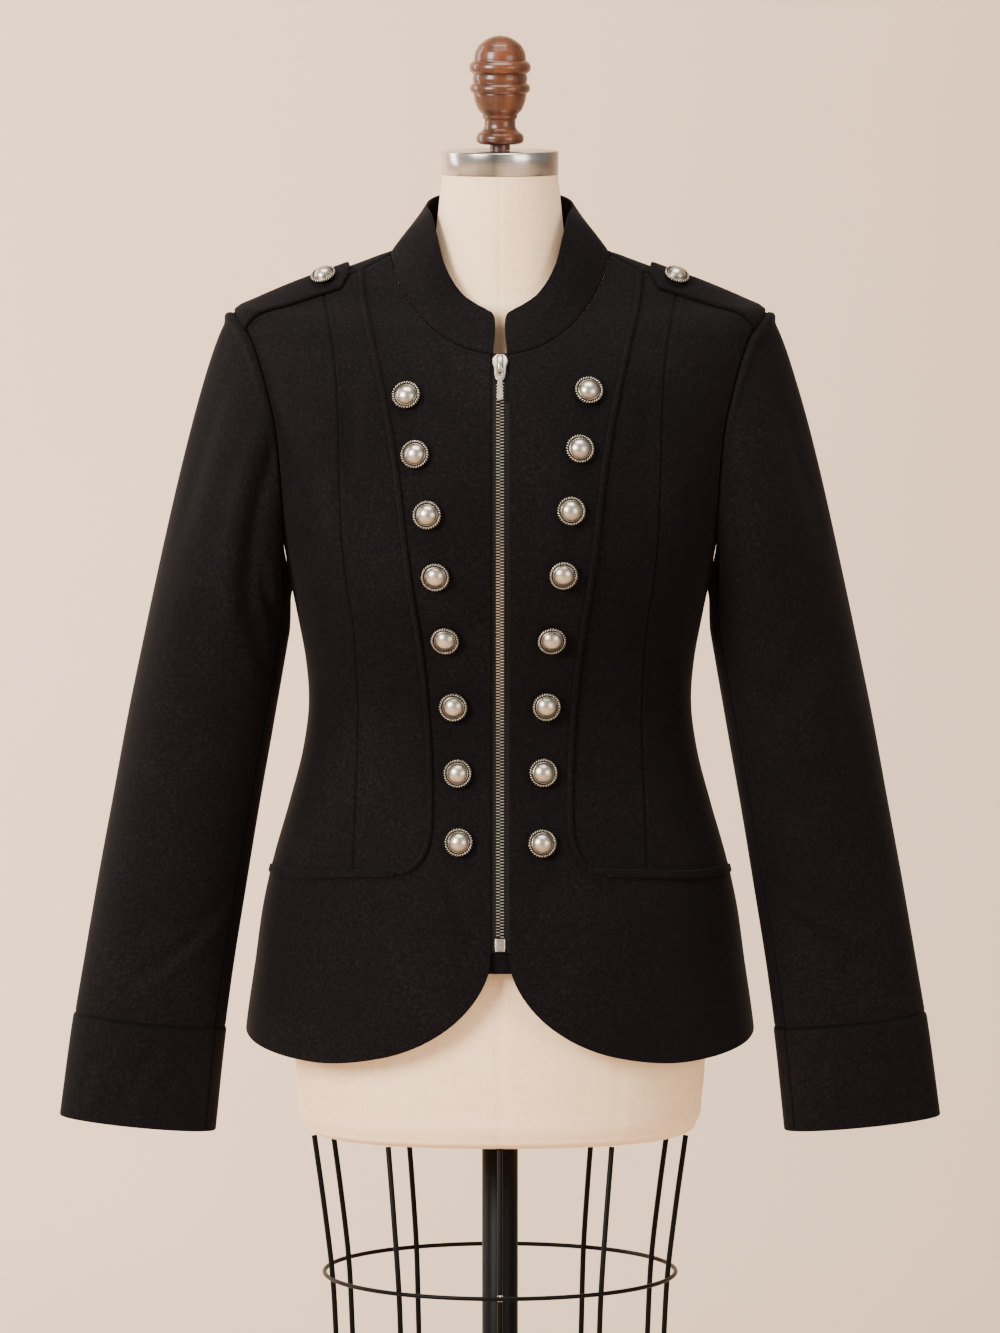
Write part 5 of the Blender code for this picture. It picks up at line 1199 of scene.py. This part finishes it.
epaulette = {
    # across, front edge, back edge, seen from above
    "outline": (
        (0.1922, -0.0238, 0.0170), (0.1800, -0.0232, 0.0165), (0.1680, -0.0228, 0.0160),
        (0.1560, -0.0224, 0.0155), (0.1440, -0.0220, 0.0150), (0.1330, -0.0217, 0.0145),
        (0.1220, -0.0215, 0.0140), (0.1150, -0.0213, 0.0135), (0.1095, -0.0115, 0.0030),
    ),
    "cutBack": 0.0078,      # how far its outer end follows the armhole towards the neck
    "gap": 0.0009,
    "cut": (0.095, 0.043, 0.0038),
}


def addEpaulettes():
    across, front, back = columns(epaulette["outline"])
    at = np.concatenate([np.linspace(0, 7, 36)[:-1], np.linspace(7, 8, 7)])
    across, front, back = (np.interp(at, np.arange(9), size)[:, None] for size in (across, front, back))
    share = graded(0.040, 14)[0][None, :]
    deep = front * (1 - share) + back * share
    nearTip = np.clip(1 - (across[0] - across) / 0.030, 0, 1)
    across = across - epaulette["cutBack"] * (deep / front[0]) ** 2 * nearTip
    face = np.stack([across + 0 * deep, deep, topHeight(across, deep)], axis=-1)
    normal = bodyNormal(face)
    away = edgeDistances(face)
    edge = np.minimum.reduce([away[name] for name in ("inner", "outer", "foot")])
    stitch = -0.00022 * np.exp(-(((edge - 0.0032) / 0.0006) ** 2))
    soften = -0.0004 * np.exp(-((edge / 0.0009) ** 2))
    sunk = 0.0016 * np.exp(-((away["top"] / 0.0035) ** 2))
    outer = face + (epaulette["gap"] + jacket["doubled"] + stitch + soften - sunk)[..., None] * normal
    uv = np.stack([away["inner"], away["top"]], axis=-1)
    # Painted shade: half strength along the stitch groove, full along the outer end sewn into the armhole seam
    shade = np.exp(-(((edge - 0.0032) / 0.0007) ** 2)) * 0.5 + seamPaintedShade(away, ("top",))
    for side, sign in (("left", 1.0), ("right", -1.0)):
        flip = np.array([sign, 1.0, 1.0])
        thick = jacket["doubled"] - 0.75 * sunk
        piece = addCloth("epaulette" + side.title(), f"epaulette_{side}", outer * flip, normal * flip, thick, uv, shade=shade.clip(0, 1))
    print("epaulette area", round(clothArea(face), 4))


strips = {
    # width, height, trims at both ends, flat cut
    "piping": {"width": 0.0044, "height": 0.0025, "power": 2.8, "trims": (0.0008, 0.0004), "mitre": -1, "cut": (0.0112, 0.455, 0.0030)},
    "welt": {"width": 0.0062, "height": 0.0020, "power": 5.0, "trims": (0.0, 0.0006), "mitre": 0, "cut": (0.0148, 0.105, 0.0011)},
}


def addStrip(name, path):
    # Raised strip on a seam, its outline a superellipse. Where the piping meets the
    # welt both ends are cut slantwise: their upper edges reach nearer the centre.
    size = strips[name]
    run = runLength(path)
    start, end = size["trims"]
    at = start + (run[-1] - start - end) * graded(run[-1], round(run[-1] / 0.0022))[0]
    place = np.stack([np.interp(at, run, path[:, i]) for i in range(3)], axis=-1)
    normal = bodyNormal(place)
    tangent = unit(np.gradient(place, axis=0))
    aside = unit(np.cross(normal, tangent))
    a = np.linspace(0, np.pi, 17)
    x = 0.5 * size["width"] * np.sign(np.cos(a)) * np.abs(np.cos(a)) ** (2 / size["power"])
    y = size["height"] * np.sin(a) ** (2 / size["power"])
    outline = np.stack([x, y], axis=-1)
    foot = place + 0.00006 * normal
    near = (at[-1] - at) if size["mitre"] < 0 else (at - at[0])
    slip = -np.clip(1 - near / 0.0085, 0, 1)[:, None] * tangent
    # Painted shade along the strip's two lower edges, where it sits on the cloth
    shade = np.exp(-(((0.5 * size["width"] - np.abs(x)) / 0.0006) ** 2)) * (y < 0.55 * size["height"])
    for side, sign in (("left", 1.0), ("right", -1.0)):
        flip = np.array([sign, 1.0, 1.0])
        # The end in the side seam is pressed flatter
        flat = 1 - 0.5 * (size["mitre"] >= 0) * np.clip(1 - (at[-1] - at) / 0.008, 0, 1)[:, None]
        piece = addTube(
            name + side.title(), foot * flip, (aside + slip) * flip, normal * flat * flip, outline, finishes["cloth"], sharp=60
        )
        setMark(piece, "seam", np.concatenate([np.tile(shade, len(at)), [0.0, 0.0]]))
        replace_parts(piece, f"{name}_{side}")


addEpaulettes()
addStrip("piping", lines["piping"])
addStrip("welt", joined(lines["weltInner"], lines["weltOuter"]))
print("epaulettes, piping and welts")


# ---- zip ----

zipper = {
    "top": 1.2045,
    "foot": 0.7755,
    "guardFoot": 0.7600,
    "tape": (0.0110, 0.0008),       # half width, thickness
    "guard": (0.0092, 0.0012),
    "teethPitch": 0.0022,
    "tooth": (0.0030, 0.00092, 0.0020),     # reach across, height, thickness
    "box": (0.0037, 0.0100),
    "sliderLength": 0.0195,
    # how far down from its top, half width
    "sliderShape": (
        (0.0, 0.0022), (0.0008, 0.0036), (0.0022, 0.0050), (0.0040, 0.0057), (0.0062, 0.0056), (0.0085, 0.0047),
        (0.0115, 0.0044), (0.0145, 0.0040), (0.0168, 0.0033), (0.0180, 0.0022), (0.0186, 0.0006),
    ),
}
tapeDepth = jacket["cloth"] + 0.0006


def centreFront(heights):
    # Outer face's line down the centre, from the front edge's own line, and its normal.
    edge = lines["frontEdge"]
    heights = np.asarray(heights, float)
    deep = np.interp(heights, edge[::-1, 2], edge[::-1, 1])
    slope = (np.interp(heights + 0.004, edge[::-1, 2], edge[::-1, 1]) - np.interp(heights - 0.004, edge[::-1, 2], edge[::-1, 1])) / 0.008
    normal = unit(np.stack([0 * slope, -np.ones_like(slope), slope], axis=-1))
    return np.stack([0 * deep, deep, heights], axis=-1), normal


def addBand(name, node, top, foot, half, depth, thick, slot, cut):
    heights = np.linspace(top, foot, round((top - foot) / 0.0025))
    place, normal = centreFront(heights)
    share = graded(2 * half, 5)[0] * 2 - 1
    outer = place[:, None] - depth * normal[:, None] + (half * share)[None, :, None] * np.array([1.0, 0.0, 0.0])
    normals = normal[:, None] + 0 * outer
    uv = np.stack([outer[..., 0], outer[..., 2]], axis=-1)
    piece = addCloth(name, node, outer, normals, thick, uv, slot=slot)


def addTeeth():
    # Rounded blocks in turn from both sides, each reaching a little past the centre.
    # One block is a grid of 8 round by 4 along, swept to every place at once.
    reach, tall, thick = zipper["tooth"]
    top = zipper["top"] - 0.90 * zipper["sliderLength"] - 0.0020
    foot = zipper["foot"] + zipper["box"][1] + 0.0004
    heights = np.arange(top, foot, -zipper["teethPitch"] / 2)
    place, normal = centreFront(heights)
    side = np.where(np.arange(len(heights)) % 2 == 0, 1.0, -1.0)
    a = 2 * np.pi * (np.arange(8) + 0.5) / 8
    squareUp = np.sign(np.sin(a)) * np.abs(np.sin(a)) ** 0.6
    squareOut = np.sign(np.cos(a)) * np.abs(np.cos(a)) ** 0.6
    over = np.array([0.00305, 0.0028, 0.0002, -0.0001])     # from the tape to the tip
    size = np.array([0.55, 1.0, 1.0, 0.45])
    x = side[:, None, None] * over[None, :, None] + 0 * a
    up = 0.5 * tall * size[None, :, None] * squareUp
    out = 0.5 * thick * size[None, :, None] * squareOut
    middle = place - (tapeDepth - 0.0001 - 0.5 * thick) * normal
    along3 = np.cross(normal, np.array([1.0, 0.0, 0.0]))
    points = (
        middle[:, None, None]
        + x[..., None] * np.array([1.0, 0.0, 0.0])
        + (up + 0 * x)[..., None] * along3[:, None, None]
        + (out + 0 * x)[..., None] * normal[:, None, None]
    )
    one = np.arange(32).reshape(4, 8)
    ring = np.concatenate([one, one[:, :1]], axis=1)
    quads = gridQuads(ring)
    caps = np.array([[0, 1, 2, 3], [0, 3, 4, 7], [4, 5, 6, 7]])
    quads = np.concatenate([quads, caps, (caps + 24)[:, ::-1]])
    base = 32 * np.arange(len(heights))[:, None, None]
    all4 = np.where(side[:, None, None] > 0, quads[None, :, ::-1], quads[None]) + base
    piece = addPiece("zipTeeth", points.reshape(-1, 3), [all4.reshape(-1, 4)], finishes["teeth"], sharp=50)
    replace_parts(piece, "zip_chain")

    # End box: a plate with softened edges over both tapes
    half, length = zipper["box"]
    heights = np.linspace(foot - 0.0006, zipper["foot"] + 0.0008, 6)
    place, normal = centreFront(heights)
    a = 2 * np.pi * np.arange(16) / 16
    outline = np.stack([half * np.sign(np.cos(a)) * np.abs(np.cos(a)) ** 0.35, 0.0011 + 0.0011 * np.sign(np.sin(a)) * np.abs(np.sin(a)) ** 0.35], axis=-1)
    path = place - (tapeDepth - 0.0001) * normal
    across = np.tile(np.array([1.0, 0.0, 0.0]), (len(path), 1)) * np.array([0.93, 1, 1, 1, 1, 0.93])[:, None]
    addTube("zipEndBox", path, across, normal, outline, finishes["nickel"], sharp=45)


def addSlider():
    # Body: half widths down its length, swept as rounded sections across the zip.
    top = zipper["top"] - 0.0004
    down, half = columns(zipper["sliderShape"])
    at = np.concatenate([np.linspace(0, 0.0186, 40)])
    width = np.maximum(smoothThrough(down, half, at), 0.0004)
    place, normal = centreFront(top - at)
    path = place - (tapeDepth - 0.0002) * normal
    a = 2 * np.pi * np.arange(40) / 40
    x = np.sign(np.cos(a)) * np.abs(np.cos(a)) ** 0.5
    y = 0.0024 * (1 + np.sign(np.sin(a)) * np.abs(np.sin(a)) ** 0.5)
    # A dished lid: lower along the middle, so that its two shoulders catch the light
    y = y - 0.0009 * (y > 0.003) * (1 - np.abs(x)) ** 0.7
    across = width[:, None] * np.array([1.0, 0.0, 0.0])
    slider = addTube("zipSlider", path, across, normal, np.stack([x, y], axis=-1), finishes["nickel"], sharp=50)
    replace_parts(slider, "zip_slider")
    # Painted shade: the slot under the bridge and the small hole near the foot are darkened, not cut
    lid = (y > 0.0030)[None, :]
    slot = ((at[:, None] - 0.0105) / 0.0040) ** 2 + (x[None, :] / 0.55) ** 2
    hole = ((at[:, None] - 0.0160) / 0.0011) ** 2 + (x[None, :] / 0.50) ** 2
    dark = lid * np.maximum(np.clip(1.6 - slot, 0, 1), np.clip(1.6 - hole, 0, 1))
    setMark(slider, "hollow", np.concatenate([dark.ravel(), [0.0, 0.0]]))
    # Bridge: an arch over the upper two thirds, high in the middle
    share = np.linspace(0, 1, 26)
    place, normal = centreFront(top - 0.0006 - 0.0120 * share)
    rise = 0.0034 + 0.0034 * np.clip(np.sin(np.pi * share), 0, 1) ** 0.45
    path = place + (rise - tapeDepth)[:, None] * normal
    run = unit(np.gradient(path, axis=0))
    side = np.tile(np.array([1.0, 0.0, 0.0]), (26, 1))
    wide = (0.0023 - 0.0009 * share)[:, None] * side
    a = 2 * np.pi * np.arange(14) / 14
    outline = np.stack([np.sign(np.cos(a)) * np.abs(np.cos(a)) ** 0.7, 0.0007 * np.sin(a)], axis=-1)
    addTube("zipBridge", path, wide, np.cross(side, run), outline, finishes["nickel"], sharp=50)


def addPolished(name, node, width, body="garment"):
    # The solid's own shape with its corners rounded: merged, flat faces joined, bevelled.
    shape = bmesh.new()
    shape.from_mesh(nodes[node].data)
    bmesh.ops.remove_doubles(shape, verts=shape.verts, dist=1e-6)
    bmesh.ops.dissolve_limit(shape, angle_limit=math.radians(2), verts=shape.verts, edges=shape.edges)
    bmesh.ops.recalc_face_normals(shape, faces=shape.faces)
    mesh = bpy.data.meshes.new(name)
    shape.to_mesh(mesh)
    shape.free()
    mesh.shade_smooth()
    mesh.set_sharp_from_angle(angle=math.radians(50))
    mesh.materials.append(finishes["nickel"])
    piece = bpy.data.objects.new(name, mesh)
    bpy.context.scene.collection.objects.link(piece)
    bevel = piece.modifiers.new("softened", "BEVEL")
    bevel.width = width
    bevel.segments = 3
    bevel.limit_method = "ANGLE"
    bevel.angle_limit = math.radians(28)
    bevel.harden_normals = False
    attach(piece, body)
    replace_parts(piece, node)


addBand("zipTape", "zip_tape", zipper["top"] + 0.0012, zipper["foot"], *zipper["tape"][:1], tapeDepth, zipper["tape"][1], "zip_tape", (0.022, 0.440))
addBand("zipGuard", "zip_guard", zipper["top"] + 0.0004, zipper["guardFoot"], zipper["guard"][0], tapeDepth + zipper["tape"][1] + 0.0003, zipper["guard"][1], "cloth", (0.0184, 0.455))
addTeeth()
addSlider()
addPolished("zipPullTab", "zip_pull", 0.00030, "pull_tab")
print("zip")


# ---- buttons ----

button = {
    "radius": 0.0105,
    "shoulderScale": 0.9,
    "scallops": 32,
    "twist": 2.4,
    # share of the radius, height, how far the scallops reach in there, hollow (patina in the grooves, painted shade
    # fading up the dome's flank)
    "profile": (
        (0.34, 0.0000, 0.0, 1.0), (0.34, 0.0014, 0.0, 1.0), (0.60, 0.0018, 0.0, 1.0), (0.88, 0.0020, 0.2, 0.9),
        (0.965, 0.0024, 1.0, 0.5), (1.000, 0.0031, 1.0, 0.15), (0.985, 0.0038, 1.0, 0.05), (0.940, 0.0044, 1.0, 0.0),
        (0.890, 0.0046, 1.0, 0.0), (0.840, 0.0043, 0.9, 0.1), (0.805, 0.0038, 0.5, 0.5), (0.785, 0.0034, 0.1, 0.9),
        (0.765, 0.0034, 0.0, 0.75), (0.745, 0.0039, 0.0, 0.3), (0.715, 0.0042, 0.0, 0.3), (0.695, 0.0042, 0.0, 0.7),
        (0.670, 0.0045, 0.0, 0.5), (0.610, 0.0053, 0.0, 0.34), (0.520, 0.0062, 0.0, 0.22), (0.420, 0.0069, 0.0, 0.12),
        (0.300, 0.0075, 0.0, 0.05), (0.160, 0.0079, 0.0, 0.0),
    ),
    # height and distance from the centre: wearer's right row, then the left row
    "rows": (
        (1.1752, 0.0670, 1.1785, 0.0634), (1.1340, 0.0605, 1.1379, 0.0569),
        (1.0913, 0.0519, 1.0942, 0.0507), (1.0475, 0.0462, 1.0486, 0.0454),
        (1.0009, 0.0391, 1.0009, 0.0370), (0.9510, 0.0331, 0.9513, 0.0331),
        (0.9024, 0.0302, 0.9029, 0.0309), (0.8533, 0.0295, 0.8526, 0.0302),
    ),
    "shoulder": (0.1266, -0.0105),      # across, deep
}


def addButton(name, node, place, normal, radius):
    # Turned profile whose rim is pulled in and down between scallops by a rounded cosine.
    share, height, scallop, hollow = columns(button["profile"])
    sides = 4 * button["scallops"]
    a = 2 * np.pi * np.arange(sides) / sides
    slant = button["twist"] * (share[:, None] - 0.88) / 0.12
    wave = (0.5 - 0.5 * np.cos(button["scallops"] * a + slant)) ** 1.4
    reach = radius * (share[:, None] - 0.080 * scallop[:, None] * wave * (share[:, None] > 0.9))
    rise = height[:, None] - 0.0009 * scallop[:, None] * wave * (height[:, None] > 0.003)
    co = np.zeros(3 * len(nodes[node].data.vertices), np.float32)
    nodes[node].data.vertices.foreach_get("co", co)
    seat = ((co.reshape(-1, 3) - place) @ normal).min()
    out = unit(normal)
    aside = unit(np.cross(out, [0.0, 0.0, 1.0]))
    ahead = np.cross(out, aside)
    centre = place + seat * out
    points = centre + (reach * np.cos(a))[..., None] * aside + (reach * np.sin(a))[..., None] * ahead + rise[..., None] * out
    rows = len(share)
    index = np.arange(rows * sides).reshape(rows, sides)
    quads = gridQuads(np.concatenate([index, index[:, :1]], axis=1))
    points = np.concatenate([points.reshape(-1, 3), [centre, centre + 0.0080 * out]])
    low = np.stack([index[0], np.roll(index[0], -1), np.full(sides, rows * sides)], axis=-1)
    high = np.stack([np.roll(index[-1], -1), index[-1], np.full(sides, rows * sides + 1)], axis=-1)
    piece = addPiece(name, points, [quads[:, ::-1], low[:, ::-1], high[:, ::-1]], finishes["silver"])
    # The "hollow" mark: patina in the grooves and between the scallops, painted shade on the dome's flank
    setMark(piece, "hollow", np.concatenate([(hollow[:, None] + 1.0 * scallop[:, None] * wave).clip(0, 1).ravel(), [1.0, 0.0]]))
    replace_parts(piece, node)


def addButtons():
    table = columns(button["rows"])
    for side, sign, (height, across) in (("right", -1.0, table[:2]), ("left", 1.0, table[2:])):
        flip = np.array([sign, 1.0, 1.0])
        places = facePoint(across, height)
        normals = bodyNormal(places)
        for i, (place, normal) in enumerate(zip(places * flip, normals * flip), 1):
            addButton(f"button{side.title()}{i}", f"button_{side}_{i}", place, normal, button["radius"])
        across, deep = button["shoulder"]
        place = np.array([across, deep, float(topHeight(across, deep))])
        normal = bodyNormal(place) * flip
        addButton(f"shoulderButton{side.title()}", f"button_epaulette_{side}", place * flip, normal, button["radius"] * button["shoulderScale"])


addButtons()
print("buttons")


# ---- dress form, stand and cage ----

form = {
    # height, half width, front depth, back depth, squareness
    "trunk": (
        (0.6290, 0.1340, 0.0930, 0.1000, 2.2), (0.6312, 0.1400, 0.0990, 0.1060, 2.2),
        (0.6370, 0.1445, 0.1035, 0.1105, 2.2), (0.6580, 0.1485, 0.1070, 0.1140, 2.2),
        (0.6950, 0.1508, 0.1085, 0.1160, 2.2), (0.7450, 0.1480, 0.1060, 0.1130, 2.2),
        (0.8000, 0.1400, 0.1000, 0.1060, 2.2), (0.8700, 0.1270, 0.0890, 0.0900, 2.2),
        (0.9460, 0.1190, 0.0800, 0.0740, 2.2), (1.0000, 0.1250, 0.0890, 0.0810, 2.2),
        (1.0550, 0.1360, 0.1020, 0.0890, 2.2), (1.1100, 0.1480, 0.1020, 0.0940, 2.2),
        (1.1600, 0.1600, 0.0930, 0.0950, 2.1), (1.1950, 0.1700, 0.0790, 0.0890, 2.0),
        (1.2170, 0.1765, 0.0600, 0.0780, 1.90), (1.2271, 0.1800, 0.0510, 0.0660, 1.76),
        (1.2318, 0.1770, 0.0480, 0.0630, 1.64), (1.2387, 0.1653, 0.0420, 0.0610, 1.56),
        (1.2457, 0.1485, 0.0350, 0.0550, 1.54), (1.2573, 0.1179, 0.0255, 0.0450, 1.54),
        (1.2646, 0.0960, 0.0210, 0.0390, 1.56), (1.2705, 0.0720, 0.0180, 0.0340, 1.60),
        (1.2820, 0.0380, 0.0150, 0.0300, 1.80),
    ),
    # height, half width, front depth, back depth
    "neck": (
        (1.1800, 0.0700, 0.0500, 0.0620), (1.2300, 0.0560, 0.0480, 0.0560), (1.2550, 0.0505, 0.0465, 0.0525),
        (1.2846, 0.0472, 0.0455, 0.0500), (1.3290, 0.0425, 0.0445, 0.0485),
    ),
    "blend": 10.0,
    "inset": 0.0003,
    "seamAt": 0.575,        # share of the half width where the panel seams run
    "seamDepth": 0.0007,
}


def reachAt(angle, width, front, back, square):
    sine, cosine = np.sin(angle), np.cos(angle)
    depth = np.where(cosine > 0, front, back)
    return ((np.abs(sine) / width) ** square + (np.abs(cosine) / depth) ** square) ** (-1 / square)


def addForm():
    # Radius of the trunk and of the neck, each to a high power, added and rooted, less a
    # fine groove along the centre seams and the panel seams.
    table = columns(form["trunk"])
    trunkHeights = table[0]
    heights = np.interp(np.linspace(0, len(trunkHeights) - 1, 150), np.arange(len(trunkHeights)), trunkHeights)
    heights = np.concatenate([heights, np.linspace(1.2820, 1.3303, 14)[1:]])[:, None]
    sides = 200
    angle = 2 * np.pi * np.arange(sides)[None, :] / sides
    last = trunkHeights[-1]
    trunk = reachAt(angle, *sectionAt(form["trunk"], np.minimum(heights, last)))
    trunk = np.where(heights > last, 0.0, trunk)
    neckHeights, *sizes = columns(form["neck"])
    neck = reachAt(angle, *[smoothThrough(neckHeights, size, heights) for size in sizes], 2.0)
    neck = np.where(heights < neckHeights[0], 0.0, neck)
    power = form["blend"]
    reach = (trunk**power + neck**power) ** (1 / power) - form["inset"]
    across = reach * np.sin(angle)
    width = sectionAt(form["trunk"], np.minimum(heights, 1.23))[0]
    panel = np.abs(np.abs(across) - form["seamAt"] * width)
    groove = np.exp(-((across / 0.0011) ** 2)) + np.exp(-((panel / 0.0011) ** 2)) * (heights < 1.2)
    reach = reach - form["seamDepth"] * groove
    rings = np.stack([reach * np.sin(angle), -reach * np.cos(angle), heights + 0 * angle], axis=-1)
    rows = len(rings)
    index = np.arange(rows * sides).reshape(rows, sides)
    quads = gridQuads(np.concatenate([index, index[:, :1]], axis=1))
    low, high = rings[0].mean(axis=0), rings[-1].mean(axis=0)
    points = np.concatenate([rings.reshape(-1, 3), [low, high]])
    under = np.stack([np.roll(index[0], -1), index[0], np.full(sides, rows * sides)], axis=-1)
    over = np.stack([index[-1], np.roll(index[-1], -1), np.full(sides, rows * sides + 1)], axis=-1)
    piece = addPiece("formBody", points, [quads[:, ::-1], under, over], finishes["linen"], sharp=60)
    # Painted shadow on the linen where the collar's two ends close over the form
    x, y, z = rings[..., 0], rings[..., 1], rings[..., 2]
    collarGapShadow = np.exp(-((x / 0.016) ** 2)) * np.clip((1.2400 - z) / 0.018, 0, 1) * (z > 1.15) * (y < 0)
    setMark(piece, "hollow", np.concatenate([(0.92 * collarGapShadow).ravel(), [0.0, 0.0]]))
    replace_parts(piece, "form_torso")


def addNeckCap():
    # Oval lid: the neck's last outline, straight up, with a rounded rim.
    _, width, front, back = form["neck"][-1]
    low, high, soft = 1.3306, 1.3475, 0.0016
    a = 2 * np.pi * np.arange(96) / 96
    turn = np.linspace(0, np.pi / 2, 6)
    levels = [(low, -0.0004), (low + 0.0004, 0.0)]
    levels += [(high - soft + soft * math.sin(t), -soft * (1 - math.cos(t))) for t in turn]
    deep = np.where(np.cos(a) > 0, front, back)
    rings = np.stack([np.stack([(width + grow) * np.sin(a), -(deep + grow) * np.cos(a), height + 0 * a], axis=-1) for height, grow in levels])
    rows, sides = rings.shape[:2]
    index = np.arange(rows * sides).reshape(rows, sides)
    quads = gridQuads(np.concatenate([index, index[:, :1]], axis=1))
    points = np.concatenate([rings.reshape(-1, 3), [rings[0].mean(axis=0), rings[-1].mean(axis=0)]])
    under = np.stack([np.roll(index[0], -1), index[0], np.full(sides, rows * sides)], axis=-1)
    over = np.stack([index[-1], np.roll(index[-1], -1), np.full(sides, rows * sides + 1)], axis=-1)
    piece = addPiece("neckCapLid", points, [quads[:, ::-1], under, over], finishes["steel"], sharp=50)
    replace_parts(piece, "neck_cap")


stand = {
    # height and radius
    "finial": (
        (1.3478, 0.0074), (1.3518, 0.0074), (1.3521, 0.0135), (1.3534, 0.0166), (1.3552, 0.0174), (1.3575, 0.0174),
        (1.3597, 0.0163), (1.3617, 0.0135), (1.3635, 0.0120), (1.3660, 0.0113), (1.3695, 0.0113), (1.3706, 0.0118),
        (1.3712, 0.0126), (1.3722, 0.0128), (1.3732, 0.0126), (1.3740, 0.0132), (1.3773, 0.0162), (1.3829, 0.0184),
        (1.3870, 0.0192), (1.3885, 0.0194), (1.3888, 0.0190), (1.3892, 0.0203), (1.3905, 0.0215), (1.3925, 0.0221),
        (1.3945, 0.0217), (1.3960, 0.0204), (1.3964, 0.0193), (1.3975, 0.0197), (1.3996, 0.0200), (1.4018, 0.0197),
        (1.4030, 0.0192), (1.4036, 0.0203), (1.4052, 0.0219), (1.4078, 0.0226), (1.4102, 0.0221), (1.4120, 0.0206),
        (1.4128, 0.0189), (1.4142, 0.0190), (1.4170, 0.0187), (1.4198, 0.0179), (1.4243, 0.0153), (1.4270, 0.0120),
        (1.4291, 0.0085), (1.4305, 0.0045), (1.4310, 0.0012),
    ),
    "poleRadius": 0.0132,
    "poleEnds": (0.0403, 0.6287),
    "base": (
        (0.0000, 0.1790), (0.0004, 0.1798), (0.0012, 0.1800), (0.0078, 0.1800), (0.0092, 0.1797), (0.0106, 0.1786),
        (0.0117, 0.1772), (0.0125, 0.1755), (0.0134, 0.1500), (0.0152, 0.1000), (0.0166, 0.0600), (0.0174, 0.0480),
        (0.0196, 0.0400), (0.0245, 0.0325), (0.0320, 0.0280), (0.0372, 0.0262), (0.0388, 0.0250), (0.0397, 0.0236),
        (0.0400, 0.0218),
    ),
    "rodRadius": 0.0020,
    "ringRadius": 0.0016,
    "weld": 0.0028,
    "rodAngles": (36.0, 80.0, 116.0, 150.0),
    # height, reach sideways, reach to the front and back
    "rods": (
        (0.6280, 0.1380, 0.0945), (0.5750, 0.1305, 0.1130), (0.5250, 0.1245, 0.1245),
        (0.4700, 0.1215, 0.1215), (0.3420, 0.1160, 0.1160),
    ),
    "rings": {"Upper": 0.5250, "Lower": 0.3500},
}


def circle(radius, sides):
    a = 2 * np.pi * np.arange(sides) / sides
    return radius * np.stack([np.cos(a), np.sin(a)], axis=-1)


def addStand():
    height, radius = columns(stand["finial"])
    run = np.concatenate([[0], np.cumsum(np.hypot(np.diff(height), np.diff(radius)))])
    at = np.linspace(0, run[-1], 150)
    height, radius = np.interp(at, run, height), np.interp(at, run, radius)
    # Grooves: where the radius falls under the mean of its neighbours
    window = np.exp(-((np.arange(-12, 13) / 6.0) ** 2))
    mean = np.convolve(np.pad(radius, 12, mode="edge"), window / window.sum(), "valid")
    groove = np.clip((mean - radius - 0.0002) / 0.0012, 0, 1)
    finial = addTurned("finialTurned", list(zip(height, radius)), 64, finishes["wood"], sharp=60)
    setMark(finial, "hollow", np.concatenate([np.repeat(groove, 64), [0.0, 0.0]]))
    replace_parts(finial, "finial")
    low, high = stand["poleEnds"]
    radius = stand["poleRadius"]
    profile = [(low, radius - 0.0004), (low + 0.0004, radius), (high - 0.0004, radius), (high, radius - 0.0004)]
    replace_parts(addTurned("pole", profile, 48, finishes["black_metal"], sharp=50), "stand_pole")
    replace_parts(addTurned("roundBase", stand["base"], 128, finishes["black_metal"], sharp=50), "stand_base")


def addCage():
    # Rods: smooth curves through the reaches. Rings: circles that touch the rods' outsides.
    height, sideways, deep = columns(stand["rods"])
    at = np.linspace(height[-1], height[0], 40)
    for i, angle in enumerate(stand["rodAngles"], 1):
        a = math.radians(angle)
        for side, sign in (("left", 1.0), ("right", -1.0)):
            path = np.stack([sign * smoothThrough(height, sideways, at) * math.sin(a), -smoothThrough(height, deep, at) * math.cos(a), at], axis=-1)
            run = unit(np.gradient(path, axis=0))
            across = unit(np.cross(run, [0.0, 1.0, 0.0]))
            rod = addTube(f"cageRod{side.title()}{i}", path, across, np.cross(run, across), circle(stand["rodRadius"], 12), finishes["black_metal"], sharp=50, uv=False)
            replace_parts(rod, f"cage_rod_{side}_{i}")
    # Front and back rods, welded to the upper ring by a bead each.
    level = stand["rings"]["Upper"]
    for end, sign in (("Front", -1.0), ("Back", 1.0)):
        path = np.stack([0 * at, sign * smoothThrough(height, deep, at), at], axis=-1)
        run = unit(np.gradient(path, axis=0))
        across = np.tile(np.array([1.0, 0.0, 0.0]), (len(at), 1))
        addTube(f"cageRod{end}", path, across, np.cross(run, across), circle(stand["rodRadius"], 12), finishes["black_metal"], sharp=50, uv=False)
        middle = sign * (float(smoothThrough(height, deep, level)) + stand["rodRadius"] + 0.0004)
        turn = np.linspace(-1.35, 1.35, 9)
        bead = [(level + stand["weld"] * math.sin(b), stand["weld"] * math.cos(b)) for b in turn]
        addTurned(f"cageWeld{end}", bead, 24, finishes["steel"], centre=(0.0, middle))
    for name, level in stand["rings"].items():
        radius = float(smoothThrough(height, sideways, level)) + stand["rodRadius"] + stand["ringRadius"] + 0.0008
        a = 2 * np.pi * np.arange(128) / 128
        path = np.stack([radius * np.cos(a), radius * np.sin(a), level + 0 * a], axis=-1)
        out = np.stack([np.cos(a), np.sin(a), 0 * a], axis=-1)
        up = np.tile(np.array([0.0, 0.0, 1.0]), (128, 1))
        ring = addTube(f"cageRing{name}", path, out, up, circle(stand["ringRadius"], 10), finishes["black_metal"], closed=True, uv=False)
        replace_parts(ring, f"cage_ring_{name.lower()}")


addForm()
addNeckCap()
addStand()
addCage()
print("form, stand and cage")
